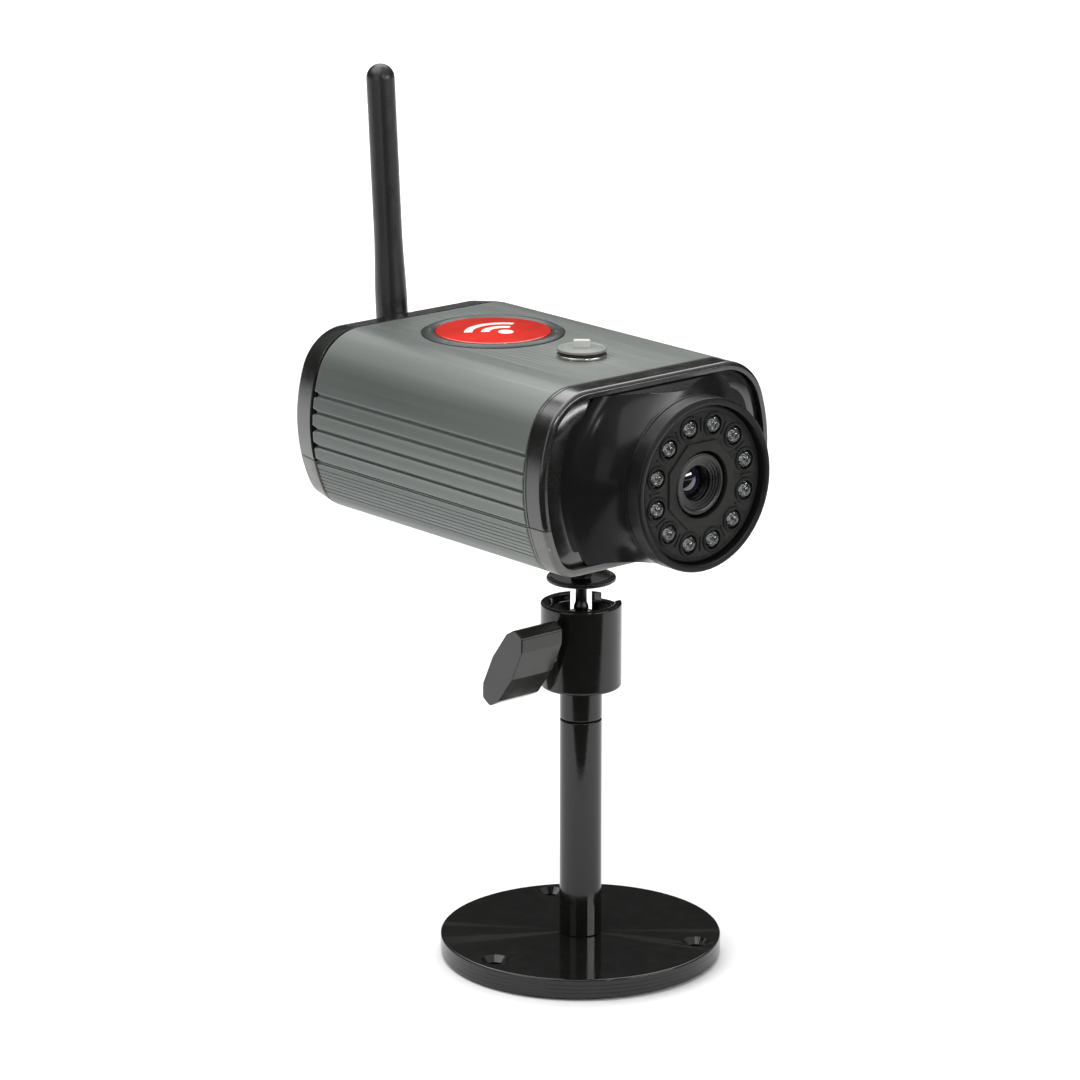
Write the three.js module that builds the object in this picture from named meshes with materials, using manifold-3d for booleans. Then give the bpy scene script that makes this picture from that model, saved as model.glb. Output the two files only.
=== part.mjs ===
// Wireless security camera on a ball-head desk stand. Units are millimetres and +Z is up.
// The origin is the centre of the underside of the base pad, and the lens looks along -Y.
import * as THREE from 'three';
import { mergeVertices } from 'three/addons/utils/BufferGeometryUtils.js';
import Module from 'manifold-3d';

const wasm = await Module();
wasm.setup();

// Clearances
const GAP = 0.3;
const SNUG = 0.1;
const OVERSHOOT = 1;

// Stand
const PAD = { radius: 38, thickness: 0.7, holeRadius: 4 };
const BASE = { radius: 40, top: 6.4, edge: 0.6, holeRadius: 2.25, sinkRadius: 3.9, holeCircle: 33.9 };
const BASE_HOLE_TURNS = [-176.5, -56.5, 63.5].map(THREE.MathUtils.degToRad);
const POST = { radius: 6, top: 70.3, tapRadius: 2.4, tapDepth: 12 };
const BASE_SCREW = {
  headRadius: 4.6, headTop: 4.2, shankRadius: 2, top: 17, driveRadius: 1.7, driveDepth: 1.8,
};
const CUP_STUD = { radius: 2, bottom: 60 };

// Ball clamp
const CUP = { radius: 11.5, bottom: 80, top: 104.5, floor: 86.5, mouthRadius: 9.4, edge: 0.6 };
const BALL = { radius: 7, z: 95.5 };
const SEAT = { boreRadius: BALL.radius + GAP, lipRise: 3.1 };
const NOTCH = { width: 6, bottomZ: 96, turn: THREE.MathUtils.degToRad(49) };
const STEP = { width: 9.8, z: 102.5, turn: THREE.MathUtils.degToRad(-6.5) };
const CLAMP_SCREW = { z: 90.7, radius: 2.3, holeRadius: 2.6, tipX: -8.9 };
const SHOE = { radius: 2.3, outerX: -8.6, innerX: -6.9 };
const KNOB = {
  outerX: -29.2, innerX: -14.3, halfLength: 13.4, halfWidth: 4.9, tipHalfWidth: 1.8,
  shoulderAlong: 0.72, shoulderWidth: 0.8, tilt: 31.6, socketX: -22,
};
const NECK = { radius: 1.6, rootRadius: 2.2, rootTop: 103, straightFrom: 104.6, top: 110.2, sink: 1 };
const STUD = { radius: 3, top: 130, edge: 0.6 };
const LOCK_DISC = { radius: 9.8, z: 110.6, thickness: 1.6, edge: 0.4 };

// Housing section: flat top and bottom, rounded corners and bulging sides
const BODY = { bottom: 123.8, width: 84, height: 51.5, sideRadius: 47.5, topCorner: 15.7, lowCorner: 9 };
const BODY_MID_Z = BODY.bottom + BODY.height / 2;
const BODY_TOP = BODY.bottom + BODY.height;
const HOUSING = { front: -24, rear: 68, wall: 2.2, seamZ: 138.6 };
const GROOVE = { count: 4, pitch: 4.93, depth: 0.8, width: 0.9 };
const FRONT = { face: -31.6, lip: 2.2, panelBack: -28.6, panelFace: -31.3 };
const REAR = { face: 78.3, lip: 3.5, taper: 0.95, panelInner: 69.3, panelOuter: 70.8 };

// Barrel with the lamps and the lens, on an axis along Y
const BARREL = {
  z: BODY.bottom + 24.6, radius: 24.2, front: 50.9, back: 44.7, tubeRadius: 23.9, bore: 21.5,
  edge: 0.7, innerEdge: 0.4, shelf: 0.9,
};
const FLARE = { radius: 33.5, steps: 6 };
const PLATE = { radius: 21.7, front: 49, back: 47.2, frameInner: 9.4, frameFlat: 11.9, frameRise: 0.5 };
const LAMP = {
  count: 12, circle: 16.7, radius: 2.45, flangeRadius: 2.85, flange: 1, back: 42.8, shoulder: 48.1,
};
const LAMP_BOARD = { radius: 21, holeRadius: 9.8, front: 42.4, back: 40.8 };
const LENS = {
  shankRadius: 5.8, headRadius: 6.5, back: 28, head: 41, front: 46.3,
  mouthRadius: 4.9, seatRadius: 4.6, seat: 43,
};
const LENS_RING = { radius: 8.6, back: 41.6, front: 48.7, mouthRadius: 5.2, mouth: 47, edge: 0.5 };
const LENS_GLASS = { radius: 4.2, back: 43.3, rim: 44.2, top: 45.6 };
const HOLDER = {
  size: 24, back: 23.9, base: 29.5, front: 38, tubeRadius: 8, boreRadius: 6.2, well: 14, wellDepth: 3.2,
};
const SENSOR_BOARD = { width: 38, height: 34, front: -23.6, back: -22 };
const IMAGE_SENSOR = { width: 10, height: 8, thickness: 1.4 };

// Boards and sockets
const BOARD = { x: 32, front: -18, rear: 62, z: 134, thickness: 1.6 };
const BOARD_TOP = BOARD.z + BOARD.thickness + SNUG;
const STANDOFF = { radius: 2.6, x: 27, ys: [-12, 46] };
const PROCESSOR = { left: -9, right: 7, front: 8, rear: 24, height: 1.6 };
const RADIO = { left: -8, right: 6, front: 38, rear: 56, height: 2.8 };
const NETWORK = {
  x: -19, width: 16, height: 13.5, length: 21, portWidth: 12, portHeight: 8.5, portDepth: 14, portLift: 2,
  latchWidth: 6, latchHeight: 1.8, latchDepth: 8,
};
const POWER = {
  x: 14.5, width: 9, height: 11, length: 14, portRadius: 3.2, portDepth: 10, portLift: 0.6,
  pinRadius: 1, pinSetback: 1.5,
};
const RESET = { x: 27, z: 141, radius: 1.5, back: 66.7, front: 71.4 };
const PANEL_SCREW = {
  x: 32, z: 158, headRadius: 2.6, rim: 0.9, crown: 1.6, crownRadius: 1.6, shankRadius: 1.4, back: 63,
  slotLength: 3, slotWidth: 0.7, slotDepth: 0.6,
};

// Cables inside, as points in Y and Z: the flat one's outline and the round one's route
const SENSOR_CABLE = {
  halfWidth: 6,
  outline: [
    [-21.8, 141], [-21.4, 141], [-21.4, 139], [-18.6, 137.2], [-13, 137.2],
    [-13, BOARD_TOP], [-13.4, BOARD_TOP], [-13.4, 136.8], [-18.8, 136.8], [-21.8, 138.8],
  ],
};
const ANTENNA_LEAD = {
  radius: 0.65, steps: 10,
  route: [[52, 138.9], [53, 143], [56, 150], [61, 155.4], [65.6, 156]],
};

// Antenna: the elbow turns about Y and the rod folds back about X
const ANTENNA = { y: 82.3, z: 156, lean: THREE.MathUtils.degToRad(3.6) };
const TONGUE = { thickness: 4.8, radius: 4.2, neck: 2.9 };
const ELBOW = {
  nutRadius: 5, nutBack: 71.2, nutFront: 77.6, cheek: 2.3, cheekRadius: 4.6, cheekRoot: 3.7, pinRadius: 1.2,
};
const ROD = {
  length: 89.6, radius: 4.1, footRadius: 4.65, neckRadius: 3.4,
  shoulder: 5.2, footFrom: 7.2, footTo: 25, slimFrom: 36,
};
const JACK = { radius: 3.1, flangeRadius: 4.5, back: 66, front: 75.8, boreRadius: 1.2, boreDepth: 5 };

// Badge and threaded mounts
const BADGE = {
  y: 38, ringRadius: 20.2, discRadius: 16.4, sink: 0.5, ringRise: 0.8, ringSlope: 1.2,
  lip: 0.6, lipDrop: 0.4, domeRise: 0.6, domeSink: 0.2,
};
const MOUNT = { flangeRadius: 7, flange: 0.7, shankRadius: 5, boreRadius: 3.25, depth: 8.3, floor: 1.5 };
const WASHER = { radius: 6.5, thickness: 0.7 };
const PLUG = {
  radius: 6.9, thickness: 0.8, edge: 0.3, shankRadius: 2.9, stem: 5,
  tabWidth: 4.7, tabThickness: 1.8, tabHeight: 2.2, tabTurn: THREE.MathUtils.degToRad(-41),
};

const WIDE_ROUND = 40;
const ROUND = 32;
const SMALL_ROUND = 16;
const TINY_ROUND = 12;
const ARC_STEPS = 10;
const WELD = 1e-4;
const FAR = 100;

// ---------- solids ----------

function solidOf(geometry) {
  geometry.deleteAttribute('normal');
  geometry.deleteAttribute('uv');
  const merged = mergeVertices(geometry, WELD);
  const points = merged.attributes.position;
  const triangles = [];
  const corners = [0, 1, 2].map(() => new THREE.Vector3());
  let volume = 0;
  for (let i = 0; i < merged.index.count; i += 3) {
    const ids = [0, 1, 2].map((k) => merged.index.getX(i + k));
    if (new Set(ids).size < 3) continue;
    triangles.push(...ids);
    corners.forEach((corner, k) => corner.fromBufferAttribute(points, ids[k]));
    volume += corners[0].dot(corners[1].clone().cross(corners[2]));
  }
  if (volume < 0) triangles.reverse();
  return new wasm.Manifold(new wasm.Mesh({
    numProp: 3,
    vertProperties: new Float32Array(points.array),
    triVerts: new Uint32Array(triangles),
  }));
}

function join(first, ...others) {
  return others.reduce((whole, piece) => whole.add(piece), first);
}

function cut(first, ...others) {
  return others.reduce((whole, piece) => whole.subtract(piece), first);
}

function box(x0, x1, y0, y1, z0, z1) {
  const geometry = new THREE.BoxGeometry(x1 - x0, y1 - y0, z1 - z0);
  return solidOf(geometry.translate((x0 + x1) / 2, (y0 + y1) / 2, (z0 + z1) / 2));
}

// A profile of [radius, height] pairs turned about the upright axis at (x, y).
function turnedUp(profile, x = 0, y = 0, segments = ROUND) {
  const geometry = new THREE.LatheGeometry(profile.map(([r, h]) => new THREE.Vector2(r, h)), segments);
  return solidOf(geometry.rotateX(Math.PI / 2).translate(x, y, 0));
}

// A profile of [radius, distance towards -Y] pairs turned about an axis along Y at (x, z).
function turnedFront(profile, x, z, segments = ROUND) {
  const geometry = new THREE.LatheGeometry(profile.map(([r, h]) => new THREE.Vector2(r, h)), segments);
  return solidOf(geometry.rotateX(Math.PI).translate(x, 0, z));
}

function disc(radius, low, high) {
  return [[0, low], [radius, low], [radius, high], [0, high]];
}

function tube(inner, outer, low, high) {
  return [[inner, low], [outer, low], [outer, high], [inner, high], [inner, low]];
}

function peg(radius, z0, z1, x = 0, y = 0, segments = SMALL_ROUND) {
  return turnedUp(disc(radius, z0, z1), x, y, segments);
}

// A round bar along Y from y0 to y1.
function bar(radius, y0, y1, x, z, segments = SMALL_ROUND) {
  return turnedFront(disc(radius, -y1, -y0), x, z, segments);
}

// A round bar along X from x0 to x1.
function crossBar(radius, x0, x1, y, z, segments = SMALL_ROUND) {
  const geometry = new THREE.CylinderGeometry(radius, radius, x1 - x0, segments);
  return solidOf(geometry.rotateZ(Math.PI / 2).translate((x0 + x1) / 2, y, z));
}

function arc(cx, cy, radius, from, to, steps) {
  return Array.from({ length: steps + 1 }, (_, i) => {
    const angle = from + (to - from) * i / steps;
    return [cx + radius * Math.cos(angle), cy + radius * Math.sin(angle)];
  });
}

// A dome's profile from its rim to its top, at these shares of its radius.
function dome(radius, rim, top, shares) {
  return shares.map((share) => [share * radius, rim + (top - rim) * (1 - share ** 2)]);
}

function shapeOf(points) {
  return new THREE.Shape(points.map(([x, y]) => new THREE.Vector2(x, y)));
}

// A shape drawn in X and Z, extruded along Y from y0 to y1.
function alongY(shape, y0, y1, z, curveSegments = 5) {
  const options = { depth: y1 - y0, bevelEnabled: false, curveSegments };
  return new THREE.ExtrudeGeometry(shape, options).rotateX(Math.PI / 2).translate(0, y1, z);
}

// A shape drawn in Y and Z, extruded along X from x0 to x1.
function alongX(shape, x0, x1) {
  const geometry = new THREE.ExtrudeGeometry(shape, { depth: x1 - x0, bevelEnabled: false });
  return geometry.rotateX(Math.PI / 2).rotateZ(Math.PI / 2).translate(x0, 0, 0);
}

// ---------- the housing's section ----------

function cornerOf(radius) {
  const sideX = BODY.width / 2 - BODY.sideRadius;
  const z = BODY.height / 2 - radius;
  const x = sideX + Math.sqrt((BODY.sideRadius - radius) ** 2 - z ** 2);
  return { x, z, turn: Math.atan2(z, x - sideX), radius };
}

function sectionShape(inset) {
  const sideX = BODY.width / 2 - BODY.sideRadius;
  const side = BODY.sideRadius - inset;
  const top = cornerOf(BODY.topCorner);
  const low = cornerOf(BODY.lowCorner);
  const shape = new THREE.Shape();
  shape.absarc(top.x, top.z, top.radius - inset, Math.PI / 2, top.turn, true);
  shape.absarc(sideX, 0, side, top.turn, -low.turn, true);
  shape.absarc(low.x, -low.z, low.radius - inset, -low.turn, -Math.PI / 2, true);
  shape.absarc(-low.x, -low.z, low.radius - inset, -Math.PI / 2, low.turn - Math.PI, true);
  shape.absarc(-sideX, 0, side, low.turn - Math.PI, -Math.PI - top.turn, true);
  shape.absarc(-top.x, top.z, top.radius - inset, Math.PI - top.turn, Math.PI / 2, true);
  return shape;
}

function sectionSolid(inset, y0, y1) {
  return solidOf(alongY(sectionShape(inset), y0, y1, BODY_MID_Z));
}

function sectionRing(wall, y0, y1) {
  const inner = sectionSolid(wall, y0 - OVERSHOOT, y1 + OVERSHOOT);
  return cut(sectionSolid(0, y0, y1), inner);
}

// The half-width of the outer section at a height above the ground.
function halfWidthAt(z) {
  const rise = z - BODY_MID_Z;
  return BODY.width / 2 - BODY.sideRadius + Math.sqrt(BODY.sideRadius ** 2 - rise ** 2);
}

function above(z) {
  return box(-FAR, FAR, -FAR, FAR, z, z + FAR);
}

function below(z) {
  return box(-FAR, FAR, -FAR, FAR, z - FAR, z);
}

const upperPart = (solid) => cut(solid, below(HOUSING.seamZ + GAP / 2));
const lowerPart = (solid) => cut(solid, above(HOUSING.seamZ - GAP / 2));

// ---------- the scene graph ----------

const camera = new THREE.Group();

function add(name, solid, color, roughness, metalness = 0) {
  const { vertProperties, triVerts } = solid.getMesh();
  const geometry = new THREE.BufferGeometry();
  geometry.setAttribute('position', new THREE.BufferAttribute(vertProperties, 3));
  geometry.setIndex(new THREE.BufferAttribute(triVerts, 1));
  geometry.computeVertexNormals();
  const mesh = new THREE.Mesh(geometry, new THREE.MeshStandardMaterial({ color, roughness, metalness }));
  mesh.name = name;
  camera.add(mesh);
  return mesh;
}

const COLOR = {
  blackGloss: 0x1c1c1c, blackMatt: 0x232322, housing: 0x6f7572, trim: 0x575755, steel: 0x9a9a98,
  rubber: 0x1a1a1a, red: 0xd8382a, white: 0xf2f0ec, board: 0x1f5a33, chip: 0x161616, brass: 0xb58a3c,
  glass: 0x20242c, lamp: 0xe8ecf2, nickel: 0xc2c2be, mount: 0x8a8d88,
};

// ---------- stand ----------

function baseHolePegs(radius, z0, z1) {
  return BASE_HOLE_TURNS.map((turn) => {
    const x = BASE.holeCircle * Math.cos(turn);
    const y = BASE.holeCircle * Math.sin(turn);
    return peg(radius, z0, z1, x, y);
  });
}

function makeBase() {
  const bottom = PAD.thickness + SNUG;
  const pad = turnedUp(disc(PAD.radius, 0, PAD.thickness));
  add('base_pad', cut(pad, ...baseHolePegs(PAD.holeRadius, -OVERSHOOT, BASE.top)), COLOR.rubber, 0.9);

  const { radius, top, edge } = BASE;
  const plate = turnedUp([
    [0, bottom], [radius - edge, bottom], [radius, bottom + edge],
    [radius, top - edge], [radius - edge, top], [0, top],
  ], 0, 0, WIDE_ROUND);
  const sinkDepth = BASE.sinkRadius - BASE.holeRadius;
  const sink = [
    [0, top - sinkDepth], [BASE.holeRadius, top - sinkDepth],
    [BASE.sinkRadius + SNUG, top + SNUG], [0, top + SNUG],
  ];
  const sinks = BASE_HOLE_TURNS.map((turn) => turnedUp(
    sink,
    BASE.holeCircle * Math.cos(turn),
    BASE.holeCircle * Math.sin(turn),
    SMALL_ROUND,
  ));
  const pocket = peg(BASE_SCREW.headRadius + GAP, 0, BASE_SCREW.headTop + GAP);
  const clearance = peg(BASE_SCREW.shankRadius + GAP, 0, top + OVERSHOOT);
  const holes = baseHolePegs(BASE.holeRadius, 0, top + OVERSHOOT);
  add('base_plate', cut(plate, ...holes, ...sinks, pocket, clearance), COLOR.blackGloss, 0.25);

  const head = peg(BASE_SCREW.headRadius, bottom + SNUG, BASE_SCREW.headTop);
  const drive = peg(BASE_SCREW.driveRadius, 0, bottom + BASE_SCREW.driveDepth, 0, 0, 6);
  const shank = peg(BASE_SCREW.shankRadius, BASE_SCREW.headTop - SNUG, BASE_SCREW.top);
  add('base_screw', cut(join(head, shank), drive), COLOR.steel, 0.35, 0.9);
}

function makePost() {
  const bottom = BASE.top + SNUG;
  const post = turnedUp(disc(POST.radius, bottom, POST.top));
  const lowTap = peg(POST.tapRadius, bottom - OVERSHOOT, bottom + POST.tapDepth);
  const topTap = peg(POST.tapRadius, POST.top - POST.tapDepth, POST.top + OVERSHOOT);
  add('post', cut(post, lowTap, topTap), COLOR.blackGloss, 0.2, 0.2);
}

// ---------- ball clamp ----------

// The cup's seat follows the ball at a gap, from the middle of the ball up to a narrower lip.
function cupCavity() {
  const lip = Math.asin(SEAT.lipRise / SEAT.boreRadius);
  const seat = arc(0, BALL.z, SEAT.boreRadius, 0, lip, 4);
  return turnedUp([
    [0, CUP.floor], [SEAT.boreRadius, CUP.floor], ...seat, [CUP.mouthRadius, CUP.top - CUP.edge],
    [CUP.mouthRadius + CUP.edge, CUP.top + SNUG], [0, CUP.top + SNUG],
  ]);
}

// The slot in the cup's wall that lets the neck lie down on one side.
function notchTool() {
  const half = NOTCH.width / 2;
  const top = CUP.top + OVERSHOOT;
  const outline = [...arc(0, NOTCH.bottomZ, half, -Math.PI, 0, ARC_STEPS), [half, top], [-half, top]];
  const geometry = new THREE.ExtrudeGeometry(shapeOf(outline), { depth: CUP.radius, bevelEnabled: false });
  geometry.rotateX(Math.PI / 2).rotateZ(Math.PI).translate(0, SEAT.boreRadius / 2, 0);
  return solidOf(geometry.rotateZ(NOTCH.turn - Math.PI / 2));
}

function stepTool() {
  const reach = CUP.radius + OVERSHOOT;
  const geometry = new THREE.BoxGeometry(reach / 2, STEP.width, CUP.top + OVERSHOOT - STEP.z);
  geometry.translate(reach * 3 / 4, 0, (CUP.top + OVERSHOOT + STEP.z) / 2);
  return solidOf(geometry.rotateZ(STEP.turn));
}

function makeClamp() {
  const neckBottom = POST.top + GAP;
  const cup = turnedUp([
    [0, neckBottom], [POST.radius, neckBottom], [POST.radius, CUP.bottom],
    [CUP.radius - CUP.edge, CUP.bottom], [CUP.radius, CUP.bottom + CUP.edge],
    [CUP.radius, CUP.top - CUP.edge], [CUP.radius - CUP.edge, CUP.top], [0, CUP.top],
  ]);
  const stud = peg(CUP_STUD.radius, CUP_STUD.bottom, neckBottom + OVERSHOOT);
  const screwHole = crossBar(CLAMP_SCREW.holeRadius, -CUP.radius - OVERSHOOT, 0, 0, CLAMP_SCREW.z);
  const solid = cut(join(cup, stud), cupCavity(), screwHole, notchTool(), stepTool());
  add('clamp_cup', solid, COLOR.blackMatt, 0.4, 0.2);

  const shoe = crossBar(SHOE.radius, SHOE.outerX, SHOE.innerX, 0, CLAMP_SCREW.z);
  add('clamp_shoe', shoe, COLOR.brass, 0.4, 0.8);
  const screw = crossBar(CLAMP_SCREW.radius, KNOB.socketX + GAP, CLAMP_SCREW.tipX, 0, CLAMP_SCREW.z);
  add('clamp_screw', screw, COLOR.steel, 0.35, 0.9);
}

// A flat wing with a long six-sided outline, tilted about the screw's axis.
function makeKnob() {
  const { halfLength, halfWidth, shoulderAlong, shoulderWidth } = KNOB;
  const half = [
    [halfLength, KNOB.tipHalfWidth], [halfLength * shoulderAlong, halfWidth * shoulderWidth], [0, halfWidth],
  ];
  const side = [...half, ...half.slice(0, 2).reverse().map(([u, v]) => [-u, v])];
  const outline = [...side, ...side.map(([u, v]) => [u, -v]).reverse()];
  const turn = THREE.MathUtils.degToRad(90 + KNOB.tilt);
  const turned = outline.map(([u, v]) => [
    u * Math.cos(turn) - v * Math.sin(turn),
    CLAMP_SCREW.z + u * Math.sin(turn) + v * Math.cos(turn),
  ]);
  const wing = solidOf(alongX(shapeOf(turned), KNOB.outerX, KNOB.innerX));
  const socket = crossBar(CLAMP_SCREW.radius + SNUG, KNOB.socketX, 0, 0, CLAMP_SCREW.z);
  add('thumb_knob', cut(wing, socket), COLOR.blackMatt, 0.35);
}

function ballShape(radius) {
  const geometry = new THREE.SphereGeometry(radius, 2 * ARC_STEPS, ARC_STEPS);
  return solidOf(geometry.rotateX(Math.PI / 2).translate(0, 0, BALL.z));
}

function makeBallStud() {
  add('ball', ballShape(BALL.radius), COLOR.steel, 0.15, 1);

  const root = BALL.z + BALL.radius - NECK.sink;
  const neck = turnedUp([
    [0, root], [NECK.rootRadius, root], [NECK.rootRadius, NECK.rootTop],
    [NECK.radius, NECK.straightFrom], [NECK.radius, NECK.top], [STUD.radius, NECK.top],
    [STUD.radius, STUD.top - STUD.edge], [STUD.radius - STUD.edge, STUD.top], [0, STUD.top],
  ], 0, 0, SMALL_ROUND);
  add('ball_stud', cut(neck, ballShape(BALL.radius + GAP)), COLOR.steel, 0.3, 0.9);

  const { radius, z, thickness, edge } = LOCK_DISC;
  const bore = STUD.radius + GAP;
  const plate = turnedUp([
    [bore, z], [radius - edge, z], [radius, z + edge], [radius, z + thickness - edge],
    [radius - edge, z + thickness], [bore, z + thickness], [bore, z],
  ]);
  add('lock_disc', plate, COLOR.blackMatt, 0.4);
}

// ---------- housing and bezels ----------

function grooveTools() {
  const length = HOUSING.rear - HOUSING.front + 2 * OVERSHOOT;
  const tools = [];
  for (let i = 1; i <= GROOVE.count; i += 1) {
    const z = HOUSING.seamZ + i * GROOVE.pitch;
    const x = halfWidthAt(z) - GROOVE.depth / 2 + OVERSHOOT / 2;
    for (const side of [-1, 1]) {
      const geometry = new THREE.BoxGeometry(GROOVE.depth + OVERSHOOT, length, GROOVE.width);
      tools.push(solidOf(geometry.translate(side * x, (HOUSING.front + HOUSING.rear) / 2, z)));
    }
  }
  return tools;
}

function makeHousing() {
  const ring = sectionRing(HOUSING.wall, HOUSING.front + GAP / 2, HOUSING.rear - GAP / 2);
  const over = BODY_TOP + OVERSHOOT;
  const badgeSeat = peg(BADGE.ringRadius + GAP, BODY_TOP - BADGE.sink, over, 0, BADGE.y, ROUND);
  const topHole = peg(MOUNT.shankRadius + GAP, BODY_TOP - 2 * HOUSING.wall, over);
  const upper = cut(upperPart(ring), ...grooveTools(), badgeSeat, topHole);
  add('housing_upper', upper, COLOR.housing, 0.45, 0.5);

  const floor = BODY.bottom + HOUSING.wall;
  const posts = [-STANDOFF.x, STANDOFF.x].flatMap((x) => STANDOFF.ys.map(
    (y) => peg(STANDOFF.radius, floor - SNUG, BOARD.z - SNUG, x, y),
  ));
  const lowHole = peg(MOUNT.shankRadius + GAP, BODY.bottom - OVERSHOOT, floor + OVERSHOOT);
  add('housing_lower', cut(join(lowerPart(ring), ...posts), lowHole), COLOR.housing, 0.45, 0.5);
}

function makeFrontBezel() {
  const ring = sectionRing(FRONT.lip, FRONT.face, HOUSING.front - GAP / 2);
  add('front_bezel', upperPart(ring), COLOR.blackGloss, 0.2);
  add('front_trim', lowerPart(ring), COLOR.trim, 0.4, 0.3);
}

// The rear bezel narrows slightly towards the back.
function makeRearBezel() {
  const front = HOUSING.rear + GAP / 2;
  const geometry = alongY(sectionShape(0), front, REAR.face, 0);
  const points = geometry.attributes.position;
  for (let i = 0; i < points.count; i += 1) {
    const scale = points.getY(i) > (front + REAR.face) / 2 ? REAR.taper : 1;
    points.setX(i, points.getX(i) * scale);
    points.setZ(i, points.getZ(i) * scale);
  }
  const outer = solidOf(geometry.translate(0, 0, BODY_MID_Z));
  const ring = cut(outer, sectionSolid(REAR.lip, front - OVERSHOOT, REAR.face + OVERSHOOT));
  add('rear_bezel', upperPart(ring), COLOR.blackGloss, 0.2);
  add('rear_trim', lowerPart(ring), COLOR.trim, 0.4, 0.3);
}

// ---------- front: panel, barrel, lamps and lens ----------

function makeFrontPanel() {
  const face = -FRONT.panelFace;
  const lipFront = -FRONT.face + GAP;
  const back = -FRONT.panelBack;
  const outline = sectionSolid(FRONT.lip + GAP, -BARREL.back, FRONT.panelBack);
  const plate = sectionSolid(FRONT.lip + GAP, FRONT.panelFace, FRONT.panelBack);
  const rise = BARREL.back - GAP - face;
  const spread = FLARE.radius - BARREL.tubeRadius;
  const curve = Array.from({ length: FLARE.steps + 1 }, (_, i) => {
    const turn = i / FLARE.steps * Math.PI / 2;
    return [FLARE.radius - spread * Math.sin(turn), face + rise * (1 - Math.cos(turn))];
  });
  const flare = turnedFront(
    [[0, back + SNUG], [FLARE.radius, back + SNUG], ...curve, [0, face + rise]],
    0,
    BARREL.z,
  );
  const barrelTube = turnedFront(disc(BARREL.tubeRadius, lipFront, face + rise), 0, BARREL.z);
  const bore = turnedFront(disc(BARREL.bore, 0, BARREL.front), 0, BARREL.z);
  const solid = join(plate, flare.intersect(outline), barrelTube);
  add('front_panel', cut(solid, bore), COLOR.blackGloss, 0.12);

  const { radius, front, edge, innerEdge } = BARREL;
  const inner = PLATE.radius + GAP;
  const shelf = inner - BARREL.shelf;
  const ring = turnedFront([
    [shelf, BARREL.back], [radius, BARREL.back], [radius, front - edge], [radius - edge, front],
    [inner + innerEdge, front], [inner, front - innerEdge], [inner, PLATE.back - GAP],
    [shelf, PLATE.back - GAP], [shelf, BARREL.back],
  ], 0, BARREL.z, WIDE_ROUND);
  add('barrel_ring', ring, COLOR.blackMatt, 0.35);
}

function lampPlaces() {
  return Array.from({ length: LAMP.count }, (_, i) => {
    const turn = (i + 0.5) * 2 * Math.PI / LAMP.count;
    return { x: LAMP.circle * Math.cos(turn), z: BARREL.z + LAMP.circle * Math.sin(turn) };
  });
}

function makeLamps() {
  const plate = turnedFront(disc(PLATE.radius, PLATE.back, PLATE.front), 0, BARREL.z);
  const eighth = Math.PI / 8;
  const frameRadius = PLATE.frameFlat / Math.cos(eighth);
  const frameDepth = PLATE.frameRise + SNUG;
  const frame = new THREE.CylinderGeometry(frameRadius, frameRadius, frameDepth, 8, 1, false, eighth);
  frame.translate(0, -PLATE.front - (PLATE.frameRise - SNUG) / 2, BARREL.z);
  const holes = lampPlaces().map(({ x, z }) => bar(LAMP.radius + GAP, -BARREL.front, 0, x, z, TINY_ROUND));
  const bore = bar(PLATE.frameInner, -BARREL.front, 0, 0, BARREL.z, ROUND);
  add('lamp_plate', cut(join(plate, solidOf(frame)), bore, ...holes), COLOR.blackMatt, 0.45);

  lampPlaces().forEach(({ x, z }, i) => {
    const flange = LAMP.back + LAMP.flange;
    const profile = [
      [0, LAMP.back], [LAMP.flangeRadius, LAMP.back], [LAMP.flangeRadius, flange], [LAMP.radius, flange],
      ...arc(0, LAMP.shoulder, LAMP.radius, 0, Math.PI / 2, 3).slice(0, -1), [0, LAMP.shoulder + LAMP.radius],
    ];
    add(`lamp_${String(i + 1).padStart(2, '0')}`, turnedFront(profile, x, z, TINY_ROUND), COLOR.lamp, 0.1);
  });

  const { holeRadius, radius, back, front } = LAMP_BOARD;
  const board = turnedFront(tube(holeRadius, radius, back, front), 0, BARREL.z);
  add('lamp_board', board, COLOR.board, 0.5);
}

function makeLens() {
  const { size, back, base, front, tubeRadius, boreRadius, well, wellDepth } = HOLDER;
  const z = BARREL.z;
  const foot = box(-size / 2, size / 2, -base, -back, z - size / 2, z + size / 2);
  const neck = bar(tubeRadius, -front, -base + SNUG, 0, z);
  const bore = bar(boreRadius, -front - OVERSHOOT, 0, 0, z);
  const room = box(-well / 2, well / 2, -back - wellDepth, 0, z - well / 2, z + well / 2);
  add('lens_holder', cut(join(foot, neck), bore, room), COLOR.blackMatt, 0.6);

  const shank = [[0, LENS.back], [LENS.shankRadius, LENS.back], [LENS.shankRadius, LENS.head]];
  const head = [
    [LENS.headRadius, LENS.head], [LENS.headRadius, LENS.front], [LENS.mouthRadius, LENS.front],
    [LENS.seatRadius, LENS.seat], [0, LENS.seat],
  ];
  add('lens_barrel', turnedFront([...shank, ...head], 0, z, SMALL_ROUND), COLOR.blackMatt, 0.4, 0.3);
  add('lens_ring', lensRing(z), COLOR.blackMatt, 0.35);

  const { radius, rim, top } = LENS_GLASS;
  const bulge = dome(radius, rim, top, [1, 0.8, 0.45, 0]);
  const glass = [[0, LENS_GLASS.back], [radius, LENS_GLASS.back], ...bulge];
  add('lens_glass', turnedFront(glass, 0, z, SMALL_ROUND), COLOR.glass, 0.05);
}

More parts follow.
